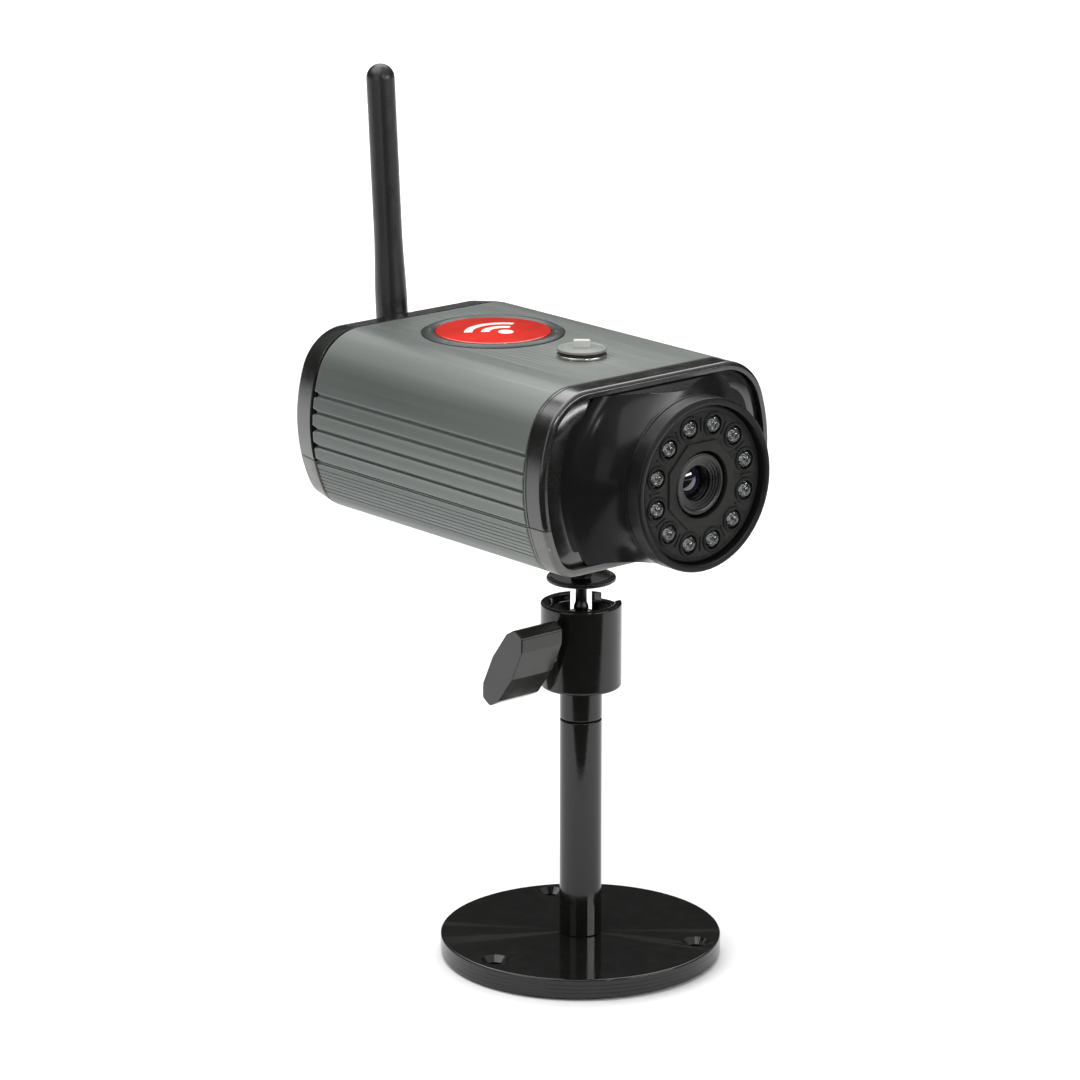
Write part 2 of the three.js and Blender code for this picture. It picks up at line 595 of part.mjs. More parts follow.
function lensRing(z) {
  const { radius, back, front, mouthRadius, mouth, edge } = LENS_RING;
  const inner = LENS.headRadius + GAP;
  const seat = LENS.front + GAP;
  return turnedFront([
    [inner, back], [radius, back], [radius, front - edge], [radius - edge, front], [radius - 2 * edge, front],
    [mouthRadius, mouth], [mouthRadius, seat], [inner, seat], [inner, back],
  ], 0, z);
}

function makeSensor() {
  const z = BARREL.z;

  const board = box(
    -SENSOR_BOARD.width / 2, SENSOR_BOARD.width / 2, SENSOR_BOARD.front, SENSOR_BOARD.back,
    z - SENSOR_BOARD.height / 2, z + SENSOR_BOARD.height / 2,
  );
  add('sensor_board', board, COLOR.board, 0.5);
  const { width, height, thickness } = IMAGE_SENSOR;
  const sensor = box(
    -width / 2, width / 2, SENSOR_BOARD.front - thickness, SENSOR_BOARD.front - SNUG,
    z - height / 2, z + height / 2,
  );
  add('image_sensor', sensor, COLOR.glass, 0.1, 0.3);
}

// ---------- inside ----------

// A flat package soldered to the top of the main board.
function chip({ left, right, front, rear, height }) {
  return box(left, right, front, rear, BOARD_TOP, BOARD_TOP + height);
}

function makeBoards() {
  const top = BOARD.z + BOARD.thickness;
  const board = box(-BOARD.x, BOARD.x, BOARD.front, BOARD.rear, BOARD.z, top);
  add('main_board', board, COLOR.board, 0.5);
  add('processor', chip(PROCESSOR), COLOR.chip, 0.4);
  add('radio_module', chip(RADIO), COLOR.nickel, 0.3, 0.9);

  const { halfWidth, outline } = SENSOR_CABLE;
  add('sensor_cable', solidOf(alongX(shapeOf(outline), -halfWidth, halfWidth)), COLOR.white, 0.5);
}

// The aerial's inner lead runs from the radio module up to the rod's socket.
function makeAntennaLead() {
  const { radius, steps, route } = ANTENNA_LEAD;
  const extrudePath = new THREE.CatmullRomCurve3(route.map(([y, z]) => new THREE.Vector3(0, y, z)));
  const round = shapeOf(arc(0, 0, radius, 0, 2 * Math.PI, 8).slice(0, -1));
  const geometry = new THREE.ExtrudeGeometry(round, { steps, bevelEnabled: false, extrudePath });
  add('antenna_lead', solidOf(geometry), COLOR.blackMatt, 0.6);
}

// ---------- rear ----------

function socketShell({ x, width, height, length }) {
  const rear = REAR.panelOuter + SNUG;
  return box(x - width / 2, x + width / 2, rear - length, rear, BOARD_TOP, BOARD_TOP + height);
}

function networkSocket() {
  const { x, portWidth, portHeight, portDepth, latchHeight, latchDepth } = NETWORK;
  const rear = REAR.panelOuter + SNUG;
  const out = rear + OVERSHOOT;
  const low = BOARD_TOP + NETWORK.portLift;
  const high = low + portHeight;
  const port = box(x - portWidth / 2, x + portWidth / 2, rear - portDepth, out, low, high);
  const half = NETWORK.latchWidth / 2;
  const latch = box(x - half, x + half, rear - latchDepth, out, high - SNUG, high + latchHeight);
  return cut(socketShell(NETWORK), port, latch);
}

function powerSocket() {
  const { x, height, portRadius, portDepth, portLift, pinRadius, pinSetback } = POWER;
  const rear = REAR.panelOuter + SNUG;
  const z = BOARD_TOP + height / 2 + portLift;
  const port = bar(portRadius, rear - portDepth, rear + OVERSHOOT, x, z);
  const pin = bar(pinRadius, rear - portDepth - SNUG, rear - pinSetback, x, z, TINY_ROUND);
  return join(cut(socketShell(POWER), port), pin);
}

function socketHole({ x, width, height }) {
  const half = width / 2 + GAP;
  const [y0, y1] = [REAR.panelInner - OVERSHOOT, REAR.panelOuter + OVERSHOOT];
  return box(x - half, x + half, y0, y1, BOARD_TOP - GAP, BOARD_TOP + height + GAP);
}

function panelHole(radius, x, z) {
  return bar(radius, REAR.panelInner - OVERSHOOT, REAR.panelOuter + OVERSHOOT, x, z);
}

function makeRear() {
  const screwPlaces = [-PANEL_SCREW.x, PANEL_SCREW.x];
  const plate = sectionSolid(REAR.lip + GAP, REAR.panelInner, REAR.panelOuter);
  const holes = [
    socketHole(NETWORK), socketHole(POWER),
    panelHole(RESET.radius + GAP, RESET.x, RESET.z),
    panelHole(JACK.radius + GAP, 0, ANTENNA.z),
    ...screwPlaces.map((x) => panelHole(PANEL_SCREW.shankRadius + GAP, x, PANEL_SCREW.z)),
  ];
  add('rear_panel', cut(plate, ...holes), COLOR.blackMatt, 0.5);
  add('network_socket', networkSocket(), COLOR.nickel, 0.35, 0.8);
  add('power_socket', powerSocket(), COLOR.chip, 0.4);
  add('reset_button', bar(RESET.radius, RESET.back, RESET.front, RESET.x, RESET.z), COLOR.trim, 0.5);

  add('panel_screw_left', panelScrew(-PANEL_SCREW.x), COLOR.steel, 0.35, 0.9);
  add('panel_screw_right', panelScrew(PANEL_SCREW.x), COLOR.steel, 0.35, 0.9);
}

function panelScrew(x) {
  const { z, headRadius, rim, crown, crownRadius, shankRadius, back, slotLength, slotWidth } = PANEL_SCREW;
  const face = -REAR.panelOuter;
  const screw = turnedFront([
    [0, face - crown], [crownRadius, face - crown], [headRadius, face - rim], [headRadius, face - SNUG],
    [shankRadius, face - SNUG], [shankRadius, -back], [0, -back],
  ], x, z, SMALL_ROUND);
  const y1 = REAR.panelOuter + crown;
  const y0 = y1 - PANEL_SCREW.slotDepth;
  const slot = (w, h) => box(x - w / 2, x + w / 2, y0, y1 + OVERSHOOT, z - h / 2, z + h / 2);
  return cut(screw, slot(slotLength, slotWidth), slot(slotWidth, slotLength));
}

// ---------- antenna ----------

// The rod stands up from the pivot at its own origin, on a flat round-ended tongue.
function rodShape() {
  const tip = arc(0, ROD.length - ROD.radius, ROD.radius, 0, Math.PI / 2, 4).slice(0, -1);
  const rod = turnedUp([
    [0, ROD.shoulder], [ROD.neckRadius, ROD.shoulder], [ROD.footRadius, ROD.footFrom],
    [ROD.footRadius, ROD.footTo], [ROD.radius, ROD.slimFrom], ...tip, [0, ROD.length],
  ], 0, 0, SMALL_ROUND);
  const root = ROD.shoulder + OVERSHOOT;
  const end = arc(0, 0, TONGUE.radius, Math.PI, 2 * Math.PI, ARC_STEPS);
  const outline = shapeOf([[-TONGUE.neck, root], ...end, [TONGUE.neck, root]]);
  return join(rod, solidOf(alongX(outline, -TONGUE.thickness / 2, TONGUE.thickness / 2)));
}

function makeAntenna() {
  const { y, z } = ANTENNA;
  const flange = bar(JACK.flangeRadius, JACK.back, REAR.panelInner - GAP, 0, z, 6);
  const barrel = bar(JACK.radius, JACK.back, JACK.front, 0, z);
  const jackBore = bar(JACK.boreRadius, JACK.front - JACK.boreDepth, JACK.front + OVERSHOOT, 0, z);
  add('antenna_socket', cut(join(flange, barrel), jackBore), COLOR.brass, 0.3, 0.9);

  const { nutFront, cheek, cheekRadius, cheekRoot, pinRadius } = ELBOW;
  const nut = bar(ELBOW.nutRadius, ELBOW.nutBack, nutFront, 0, z);
  const half = TONGUE.thickness / 2 + GAP;
  const cheekOutline = [
    [nutFront - SNUG, z + cheekRoot], ...arc(y, z, cheekRadius, Math.PI / 2, -Math.PI / 2, ARC_STEPS),
    [nutFront - SNUG, z - cheekRoot],
  ];
  const cheeks = [half, -half - cheek].map((x) => solidOf(alongX(shapeOf(cheekOutline), x, x + cheek)));
  const socket = bar(JACK.radius + GAP, ELBOW.nutBack - OVERSHOOT, JACK.front + GAP, 0, z);
  const reach = half + cheek;
  const pinHole = crossBar(pinRadius + SNUG, -reach - OVERSHOOT, reach + OVERSHOOT, y, z);
  add('antenna_elbow', cut(join(nut, ...cheeks), socket, pinHole), COLOR.blackMatt, 0.5);
  add('antenna_pin', crossBar(pinRadius, -reach, reach, y, z), COLOR.steel, 0.3, 0.9);

  const pinEye = crossBar(pinRadius + GAP, -half, half, 0, 0);
  const mesh = add('antenna_rod', cut(rodShape(), pinEye), COLOR.rubber, 0.35);
  mesh.rotation.x = -ANTENNA.lean;
  mesh.position.set(0, y, z);
}

// ---------- badge and mounts ----------

function makeBadge() {
  const { y, ringRadius, discRadius, ringSlope, lip, lipDrop } = BADGE;
  const seat = BODY_TOP - BADGE.sink + SNUG;
  const top = BODY_TOP + BADGE.ringRise;
  const inner = discRadius + GAP;
  const ring = turnedUp([
    [inner, seat], [ringRadius, seat], [ringRadius, BODY_TOP], [ringRadius - ringSlope, top],
    [inner + lip, top], [inner, top - lipDrop], [inner, seat],
  ], 0, y);
  add('badge_ring', ring, COLOR.mount, 0.35, 0.6);

  const rim = top - BADGE.domeSink;
  const bulge = dome(discRadius, rim, rim + BADGE.domeRise, [1, 0.8, 0.55, 0.3, 0]);
  add('badge_disc', turnedUp([[0, seat], [discRadius, seat], ...bulge], 0, y), COLOR.red, 0.25);
}

// A flanged bush whose thread opens away from the housing; side is 1 on top and -1 below.
function mountBush(side) {
  const face = side > 0 ? BODY_TOP : BODY.bottom;
  const { shankRadius, flangeRadius, boreRadius, depth, floor } = MOUNT;
  const outer = SNUG + MOUNT.flange;
  const profile = [
    [0, -depth], [shankRadius, -depth], [shankRadius, SNUG], [flangeRadius, SNUG],
    [flangeRadius, outer], [boreRadius, outer], [boreRadius, floor - depth], [0, floor - depth],
  ];
  return turnedUp(profile.map(([r, out]) => [r, face + side * out]), 0, 0, SMALL_ROUND);
}

function makeMounts() {
  add('top_mount', mountBush(1), COLOR.nickel, 0.3, 0.9);
  add('lower_mount', mountBush(-1), COLOR.nickel, 0.3, 0.9);

  const washerLow = BODY_TOP + MOUNT.flange + 2 * SNUG;
  const washerTop = washerLow + WASHER.thickness;
  const washer = turnedUp(tube(MOUNT.boreRadius + GAP, WASHER.radius, washerLow, washerTop), 0, 0, SMALL_ROUND);
  add('plug_washer', washer, COLOR.rubber, 0.8);

  const { radius, shankRadius, edge, tabHeight } = PLUG;
  const stemEnd = BODY_TOP - PLUG.stem;
  const low = washerTop + SNUG;
  const top = low + PLUG.thickness;
  const cap = turnedUp([
    [0, stemEnd], [shankRadius, stemEnd], [shankRadius, low], [radius, low],
    [radius, top - edge], [radius - edge, top], [0, top],
  ], 0, 0, SMALL_ROUND);
  const tab = new THREE.BoxGeometry(PLUG.tabWidth, PLUG.tabThickness, tabHeight + SNUG);
  tab.translate(0, 0, top + (tabHeight - SNUG) / 2).rotateZ(PLUG.tabTurn);
  add('top_plug', join(cap, solidOf(tab)), COLOR.mount, 0.4, 0.5);
}

makeBase();
makePost();
makeClamp();
makeKnob();
makeBallStud();
makeHousing();
makeFrontBezel();
makeRearBezel();
makeFrontPanel();
makeLamps();
makeLens();
makeSensor();
makeBoards();
makeAntennaLead();
makeRear();
makeAntenna();
makeBadge();
makeMounts();

export default camera;
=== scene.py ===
"""Looks for a wireless security camera on a ball-head desk stand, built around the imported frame."""
import math

import bmesh
import bpy
from mathutils import Matrix, Vector


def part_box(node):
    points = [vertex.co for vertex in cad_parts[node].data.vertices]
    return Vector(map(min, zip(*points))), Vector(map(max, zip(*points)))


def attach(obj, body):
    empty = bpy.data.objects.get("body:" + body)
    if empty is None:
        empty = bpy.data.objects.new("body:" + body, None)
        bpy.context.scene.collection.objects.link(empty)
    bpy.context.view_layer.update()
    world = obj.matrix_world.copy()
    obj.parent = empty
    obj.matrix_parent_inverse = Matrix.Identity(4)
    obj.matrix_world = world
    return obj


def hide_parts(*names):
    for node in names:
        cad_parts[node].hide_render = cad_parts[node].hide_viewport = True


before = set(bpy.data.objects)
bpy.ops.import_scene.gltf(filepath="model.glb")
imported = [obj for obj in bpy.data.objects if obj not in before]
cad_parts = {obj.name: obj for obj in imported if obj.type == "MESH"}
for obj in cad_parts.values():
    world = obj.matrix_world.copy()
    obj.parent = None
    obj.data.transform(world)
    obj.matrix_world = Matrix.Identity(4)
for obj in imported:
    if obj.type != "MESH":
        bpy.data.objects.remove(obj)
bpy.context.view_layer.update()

MM = 0.001
GAP = 0.3

# ---------- where things are, in millimetres ----------


class Extent:
    """The box of one or more CAD nodes, in millimetres."""

    def __init__(self, *nodes):
        corners = [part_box(node) for node in nodes]
        self.low = [min(low[i] for low, _ in corners) / MM for i in range(3)]
        self.high = [max(high[i] for _, high in corners) / MM for i in range(3)]
        self.mid = [(a + b) / 2 for a, b in zip(self.low, self.high)]
        self.half = [(b - a) / 2 for a, b in zip(self.low, self.high)]


BODY = Extent("housing_upper", "housing_lower")
BODY_TOP = BODY.high[2]
BODY_BOTTOM = BODY.low[2]
BODY_MID = BODY.mid[2]
SEAM = (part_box("housing_upper")[0].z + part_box("housing_lower")[1].z) / 2 / MM
SIDE_RADIUS = 47.5
TOP_CORNER = 15.7
LOW_CORNER = 9.0

# ---------- meshes ----------


def make_object(name, points, faces):
    mesh = bpy.data.meshes.new(name)
    mesh.from_pydata([[c * MM for c in point] for point in points], [], faces)
    obj = bpy.data.objects.new(name, mesh)
    bpy.context.scene.collection.objects.link(obj)
    tidy(obj)
    return obj


def tidy(obj, weld=1e-7):
    """Merges doubled points and turns every face outwards."""
    mesh = bmesh.new()
    mesh.from_mesh(obj.data)
    bmesh.ops.remove_doubles(mesh, verts=mesh.verts, dist=weld)
    bmesh.ops.dissolve_degenerate(mesh, edges=mesh.edges, dist=weld)
    bmesh.ops.recalc_face_normals(mesh, faces=mesh.faces)
    mesh.to_mesh(obj.data)
    mesh.free()


def apply_modifiers(obj):
    bpy.context.view_layer.update()
    graph = bpy.context.evaluated_depsgraph_get()
    mesh = bpy.data.meshes.new_from_object(obj.evaluated_get(graph), depsgraph=graph)
    obj.modifiers.clear()
    old = obj.data
    obj.data = mesh
    bpy.data.meshes.remove(old)


def boolean(obj, operation, *tools):
    for tool in tools:
        modifier = obj.modifiers.new("join", "BOOLEAN")
        modifier.operation = operation
        modifier.solver = "EXACT"
        modifier.object = tool
    apply_modifiers(obj)
    for tool in tools:
        bpy.data.objects.remove(tool)
    tidy(obj)
    return obj


def cut(obj, *tools):
    return boolean(obj, "DIFFERENCE", *tools)


def join(obj, *tools):
    return boolean(obj, "UNION", *tools)


def gather(name, objects):
    """One object holding the meshes of several that don't overlap."""
    points, faces = [], []
    for obj in objects:
        start = len(points)
        points += [[c / MM for c in vertex.co] for vertex in obj.data.vertices]
        faces += [[start + i for i in face.vertices] for face in obj.data.polygons]
        bpy.data.objects.remove(obj)
    return make_object(name, points, faces)


def soften(obj, width, segments=3, angle=32):
    """Rounds the edges that are sharper than the angle."""
    bevel = obj.modifiers.new("bevel", "BEVEL")
    bevel.width = width * MM
    bevel.segments = segments
    bevel.limit_method = "ANGLE"
    bevel.angle_limit = math.radians(angle)
    bevel.use_clamp_overlap = True
    apply_modifiers(obj)
    return obj


def shade(obj, angle=38):
    obj.data.shade_smooth()
    obj.data.set_sharp_from_angle(angle=math.radians(angle))
    normals = obj.modifiers.new("normals", "WEIGHTED_NORMAL")
    normals.keep_sharp = True
    apply_modifiers(obj)
    return obj


def polar(radius, angle, at=(0, 0)):
    return at[0] + radius * math.cos(angle), at[1] + radius * math.sin(angle)


def spread(start, end, count):
    return [start + (end - start) * i / count for i in range(count + 1)]


def arc_points(centre, radius, start, end, steps):
    return [polar(radius, angle, centre) for angle in spread(start, end, steps)]


def ripple(count, depth, angle):
    """How far a rim with count ribs of the given depth is cut back at an angle."""
    return depth * (0.5 + 0.5 * math.cos(count * angle))


def rounded(points, steps=5, closed=False):
    """Rounds each corner given as (u, v, fillet); a corner given as (u, v) stays sharp."""
    result = []
    count = len(points)
    for i, point in enumerate(points):
        corner = Vector(point[:2])
        fillet = point[2] if len(point) > 2 else 0
        if not fillet or (not closed and i in (0, count - 1)):
            result.append(tuple(corner))
            continue
        before = Vector(points[i - 1][:2]) - corner
        after = Vector(points[(i + 1) % count][:2]) - corner
        start = corner + before.normalized() * min(fillet, before.length * 0.48)
        end = corner + after.normalized() * min(fillet, after.length * 0.48)
        for k in range(steps + 1):
            t = k / steps
            result.append(tuple(start.lerp(corner, t).lerp(corner.lerp(end, t), t)))
    return result


AXES = {
    "z": lambda r, h, c, s, at: (at[0] + r * c, at[1] + r * s, h),
    "y": lambda r, h, c, s, at: (at[0] + r * c, h, at[1] + r * s),
    "x": lambda r, h, c, s, at: (h, at[0] + r * c, at[1] + r * s),
}


def lathe(name, profile, axis="z", at=(0, 0), segments=96, shape=None):
    """Turns a profile of (radius, place along the axis) pairs about the axis through at."""
    place = AXES[axis]
    points, rings = [], []
    for radius, height in profile:
        if radius < 1e-6:
            rings.append([len(points)] * segments)
            points.append(place(0, height, 1, 0, at))
            continue
        rings.append(list(range(len(points), len(points) + segments)))
        for k in range(segments):
            angle = 2 * math.pi * k / segments
            r = shape(radius, height, angle) if shape else radius
            points.append(place(r, height, math.cos(angle), math.sin(angle), at))
    closed = profile[0][0] > 1e-6
    pairs = list(zip(rings, rings[1:])) + ([(rings[-1], rings[0])] if closed else [])
    return make_object(name, points, ring_faces(pairs, segments))


def ring_faces(pairs, count):
    faces = []
    for low, high in pairs:
        for k in range(count):
            n = (k + 1) % count
            corners = list(dict.fromkeys([low[k], low[n], high[n], high[k]]))
            if len(corners) > 2:
                faces.append(corners)
    return faces


def loft(name, rings):
    """Joins closed rings of equal counts, with a face over each end."""
    count = len(rings[0])
    points = [point for ring in rings for point in ring]
    index = [list(range(i * count, (i + 1) * count)) for i in range(len(rings))]
    faces = ring_faces(list(zip(index, index[1:])), count)
    faces += [index[0][::-1], index[-1]]
    return make_object(name, points, faces)


def block(name, low, high, turn=0.0):
    """A box tool, turned about the Z axis."""
    c, s = math.cos(turn), math.sin(turn)
    ring = [(low[0], low[1]), (high[0], low[1]), (high[0], high[1]), (low[0], high[1])]
    rings = [[(x * c - y * s, x * s + y * c, z) for x, y in ring] for z in (low[2], high[2])]
    return loft(name, rings)


def peg(name, radius, low, high, axis="z", at=(0, 0), segments=64):
    profile = [(0, low), (radius, low), (radius, high), (0, high)]
    return lathe(name, profile, axis, at, segments)


def prism_x(name, outline, x0, x1):
    """An outline of (y, z) pairs, extruded along X."""
    return loft(name, [[(x, y, z) for y, z in outline] for x in (x0, x1)])


def threaded(name, radius, depth, pitch, low, high, axis="z", at=(0, 0), segments=48):
    """A round bar with a real screw thread and chamfered ends."""
    place = AXES[axis]
    rows = max(8, int((high - low) / pitch * 8))
    rings = []
    for i in range(rows + 1):
        height = low + (high - low) * i / rows
        ends = min(1.0, (height - low) / pitch, (high - height) / pitch)
        ring = []
        for k in range(segments):
            angle = 2 * math.pi * k / segments
            phase = (height / pitch - k / segments) % 1.0
            crest = 1 - abs(2 * phase - 1)
            r = radius - depth + depth * min(1.0, crest * 1.4) * ends
            ring.append(place(r, height, math.cos(angle), math.sin(angle), at))
        rings.append(ring)
    return loft(name, rings)


# ---------- the housing's section ----------


def corner_of(radius):
    side_x = BODY.half[0] - SIDE_RADIUS
    z = BODY.half[2] - radius
    x = side_x + math.sqrt((SIDE_RADIUS - radius) ** 2 - z**2)
    return x, z, math.atan2(z, x - side_x), radius


TOP = corner_of(TOP_CORNER)
LOW = corner_of(LOW_CORNER)
NOTCH_PLACES = (-1.7, -1.3, -1.05, -0.85, -0.5, 0, 0.5, 0.85, 1.05, 1.3, 1.7)
NOTCH_DEPTHS = (0, 0.05, 0.25, 0.8, 0.96, 1, 0.96, 0.8, 0.25, 0.05, 0)
WIDEST_FLARE = 1.75
NEARLY = 1e-6


def side_angle(z, radius, scale=1.0):
    return math.asin((z - BODY_MID) / scale / radius)


def side_places(start, end, grooves, flare, count):
    """Shares of the way down the bulging side, each with the groove depth there."""
    turn = end - start
    places = {share: 0.0 for share in spread(0.0, 1.0, count)}
    for z, width, depth in grooves:
        middle = (side_angle(z, SIDE_RADIUS) - start) / turn
        half = width / 2 / SIDE_RADIUS / abs(turn)
        reach = half * WIDEST_FLARE * NOTCH_PLACES[-1]
        for share in list(places):
            if abs(share - middle) <= reach:
                del places[share]
        for offset, part in zip(NOTCH_PLACES, NOTCH_DEPTHS):
            share = middle + offset * half * flare
            if -NEARLY <= share <= 1 + NEARLY:
                places[share] = depth * part * flare
    return sorted(places.items())


def half_outline(inset, z_high=None, z_low=None, grooves=(), flare=1.0, scale=1.0, count=26):
    """The right half of the section from top to bottom, as (x, z) from the section's middle.

    With z_high or z_low the outline starts or ends on the side at that height."""
    side_x = BODY.half[0] - SIDE_RADIUS
    radius = SIDE_RADIUS - inset
    points = []
    start, end = TOP[2], -LOW[2]
    first, last = start, end
    if z_high is None:
        flat_z = BODY.half[2] - inset
        points += [(x, flat_z) for x in spread(0, TOP[0], 12)]
        for angle in spread(math.pi / 2, TOP[2], 20)[1:]:
            r = TOP[3] - inset
            points.append((TOP[0] + r * math.cos(angle), TOP[1] + r * math.sin(angle)))
    else:
        start, first = side_angle(z_high, radius, scale), side_angle(z_high, SIDE_RADIUS)
    if z_low is not None:
        end, last = side_angle(z_low, radius, scale), side_angle(z_low, SIDE_RADIUS)
    for share, depth in side_places(first, last, grooves, flare, count)[0 if z_high else 1:]:
        r = radius - depth
        angle = start + (end - start) * share
        points.append((side_x + r * math.cos(angle), r * math.sin(angle)))
    if z_low is None:
        for angle in spread(-LOW[2], -math.pi / 2, 16)[1:]:
            r = LOW[3] - inset
            points.append((LOW[0] + r * math.cos(angle), -LOW[1] + r * math.sin(angle)))
        points += [(x, -BODY.half[2] + inset) for x in spread(LOW[0], 0, 12)[1:]]
    return [(x * scale, z * scale + BODY_MID) for x, z in points]


def outline(inset, scale=1.0):
    """The whole closed section as (x, z) pairs."""
    right = half_outline(inset, scale=scale)
    return right + [(-x, z) for x, z in right[-2:0:-1]]


def part_outline(inset, upper, grooves=(), flare=1.0, scale=1.0):
    """The section above or below the seam, from one side over the middle to the other."""
    if upper:
        half = half_outline(inset, z_low=SEAM + GAP / 2, grooves=grooves, flare=flare, scale=scale)
        return [(-x, z) for x, z in half[:0:-1]] + half
    half = half_outline(inset, z_high=SEAM - GAP / 2, grooves=grooves, flare=flare, scale=scale)
    return half + [(-x, z) for x, z in half[-2::-1]]


def shell(name, stations):
    """A bent wall from stations of (y, outer points, inner points) along Y."""
    count = len(stations[0][1])
    points, outer, inner = [], [], []
    for y, outside, inside in stations:
        outer.append(list(range(len(points), len(points) + count)))
        points += [(x, y, z) for x, z in outside]
        inner.append(list(range(len(points), len(points) + count)))
        points += [(x, y, z) for x, z in inside]
    faces = []
    for k in range(count - 1):
        for side in (outer, inner):
            for low, high in zip(side, side[1:]):
                faces.append([low[k], low[k + 1], high[k + 1], high[k]])
        for a, b in ((outer[0], inner[0]), (outer[-1], inner[-1])):
            faces.append([a[k], a[k + 1], b[k + 1], b[k]])
    for k in (0, count - 1):
        for i in range(len(stations) - 1):
            faces.append([outer[i][k], outer[i + 1][k], inner[i + 1][k], inner[i][k]])
    return make_object(name, points, faces)


# ---------- materials ----------


def srgb(red, green, blue):
    def linear(channel):
        value = channel / 255
        return value / 12.92 if value <= 0.04045 else ((value + 0.055) / 1.055) ** 2.4

    return linear(red), linear(green), linear(blue), 1.0


class Finish:
    """A procedural material on a Principled shader, in the piece's own coordinates."""

    def __init__(self, name, colour, roughness, metallic=0.0, specular=0.5):
        self.material = bpy.data.materials.new(name)
        self.material.use_nodes = True
        self.nodes = self.material.node_tree.nodes
        self.links = self.material.node_tree.links
        self.shader = self.nodes["Principled BSDF"]
        self.place = self.nodes.new("ShaderNodeTexCoord").outputs["Object"]
        self.colour = colour
        self.height = None
        self.set("Base Color", colour)
        self.set("Roughness", roughness)
        self.set("Metallic", metallic)
        self.set("Specular IOR Level", specular)

    def set(self, socket, value):
        self.shader.inputs[socket].default_value = value
        return self

    def noise(self, scale, detail=4.0, rough=0.55, distortion=0.0):
        """Noise whose scale along each axis is in cells a metre."""
        mapping = self.nodes.new("ShaderNodeMapping")
        mapping.inputs["Scale"].default_value = scale
        texture = self.nodes.new("ShaderNodeTexNoise")
        texture.inputs["Scale"].default_value = 1.0
        texture.inputs["Detail"].default_value = detail
        texture.inputs["Roughness"].default_value = rough
        texture.inputs["Distortion"].default_value = distortion
        self.links.new(self.place, mapping.inputs["Vector"])
        self.links.new(mapping.outputs["Vector"], texture.inputs["Vector"])
        return texture.outputs["Fac"]

    def ranged(self, source, low, high, to_low, to_high):
        node = self.nodes.new("ShaderNodeMapRange")
        for socket, value in zip(("From Min", "From Max", "To Min", "To Max"), (low, high, to_low, to_high)):
            node.inputs[socket].default_value = value
        self.links.new(source, node.inputs["Value"])
        return node.outputs["Result"]

    def mix(self, factor, first, second):
        node = self.nodes.new("ShaderNodeMix")
        node.data_type = "RGBA"
        self.links.new(factor, node.inputs["Factor"])
        for socket, value in (("A", first), ("B", second)):
            target = [i for i in node.inputs if i.name == socket and i.type == "RGBA"][0]
            if isinstance(value, tuple):
                target.default_value = value
            else:
                self.links.new(value, target)
        return [o for o in node.outputs if o.type == "RGBA"][0]

    def paint(self, source):
        self.links.new(source, self.shader.inputs["Base Color"])
        return self

    def mottled(self, scale, amount, tone=(1, 1, 1)):
        """Soft variation of the colour, lighter and darker by amount."""
        factor = self.ranged(self.noise(scale), 0.3, 0.7, 0.0, 1.0)
        dark = tuple(c * (1 - amount) for c in self.colour[:3]) + (1.0,)
        light = tuple(min(1, c * (1 + amount) * t) for c, t in zip(self.colour[:3], tone)) + (1.0,)
        self.base = self.mix(factor, dark, light)
        return self.paint(self.base)

    def worn(self, colour, start=0.51, end=0.6):
        """Lighter edges where the finish is rubbed."""
        pointed = self.nodes.new("ShaderNodeNewGeometry").outputs["Pointiness"]
        self.base = self.mix(self.ranged(pointed, start, end, 0.0, 1.0), self.base, colour)
        return self.paint(self.base)

    def rough(self, scale, low, high):
        result = self.ranged(self.noise(scale), 0.3, 0.7, low, high)
        self.links.new(result, self.shader.inputs["Roughness"])
        return self

    def grain(self, scale, depth, strength=1.0, detail=3.0):
        """Relief of the given depth in millimetres; several add up."""
        bump = self.nodes.new("ShaderNodeBump")
        bump.inputs["Strength"].default_value = strength
        bump.inputs["Distance"].default_value = depth * MM
        self.links.new(self.noise(scale, detail), bump.inputs["Height"])
        if self.height is not None:
            self.links.new(self.height, bump.inputs["Normal"])
        self.height = bump.outputs["Normal"]
        self.links.new(self.height, self.shader.inputs["Normal"])
        return self


def even(scale):
    return scale, scale, scale


def lighter(colour, times):
    return tuple(min(1, c * times) for c in colour[:3]) + (1.0,)


def housing_alloy():
    finish = Finish("brushed_alloy", srgb(89, 94, 91), 0.42, 0.35)
    finish.mottled((150, 9, 150), 0.022).worn(srgb(150, 154, 150), 0.52, 0.62)
    finish.rough((900, 12, 900), 0.36, 0.5)
    return finish.grain((2600, 26, 2600), 0.007).grain(even(9000), 0.003)


def gloss_plastic(name, colour, low=0.08, high=0.2, specular=0.4):
    finish = Finish(name, colour, 0.12, 0.0, specular)
    finish.mottled(even(70), 0.18).worn(lighter(colour, 3.2), 0.54, 0.66)
    finish.rough(even(160), low, high)
    return finish.grain(even(420), 0.006).grain((60, 2600, 5200), 0.0012)


def satin_plastic(name, colour, low=0.32, high=0.5, specular=0.5, bead=1900, relief=0.012):
    finish = Finish(name, colour, 0.4, 0.0, specular)
    finish.mottled(even(90), 0.12).worn(lighter(colour, 2.4), 0.54, 0.68)
    finish.rough(even(240), low, high)
    return finish.grain(even(bead), relief)


def painted_metal(name, colour, low=0.14, high=0.28, specular=0.45):
    finish = Finish(name, colour, 0.2, 0.0, specular)
    finish.mottled(even(55), 0.14).worn(lighter(colour, 2.8), 0.54, 0.66)
    finish.rough(even(210), low, high)
    return finish.grain(even(700), 0.008).grain(even(2600), 0.002)


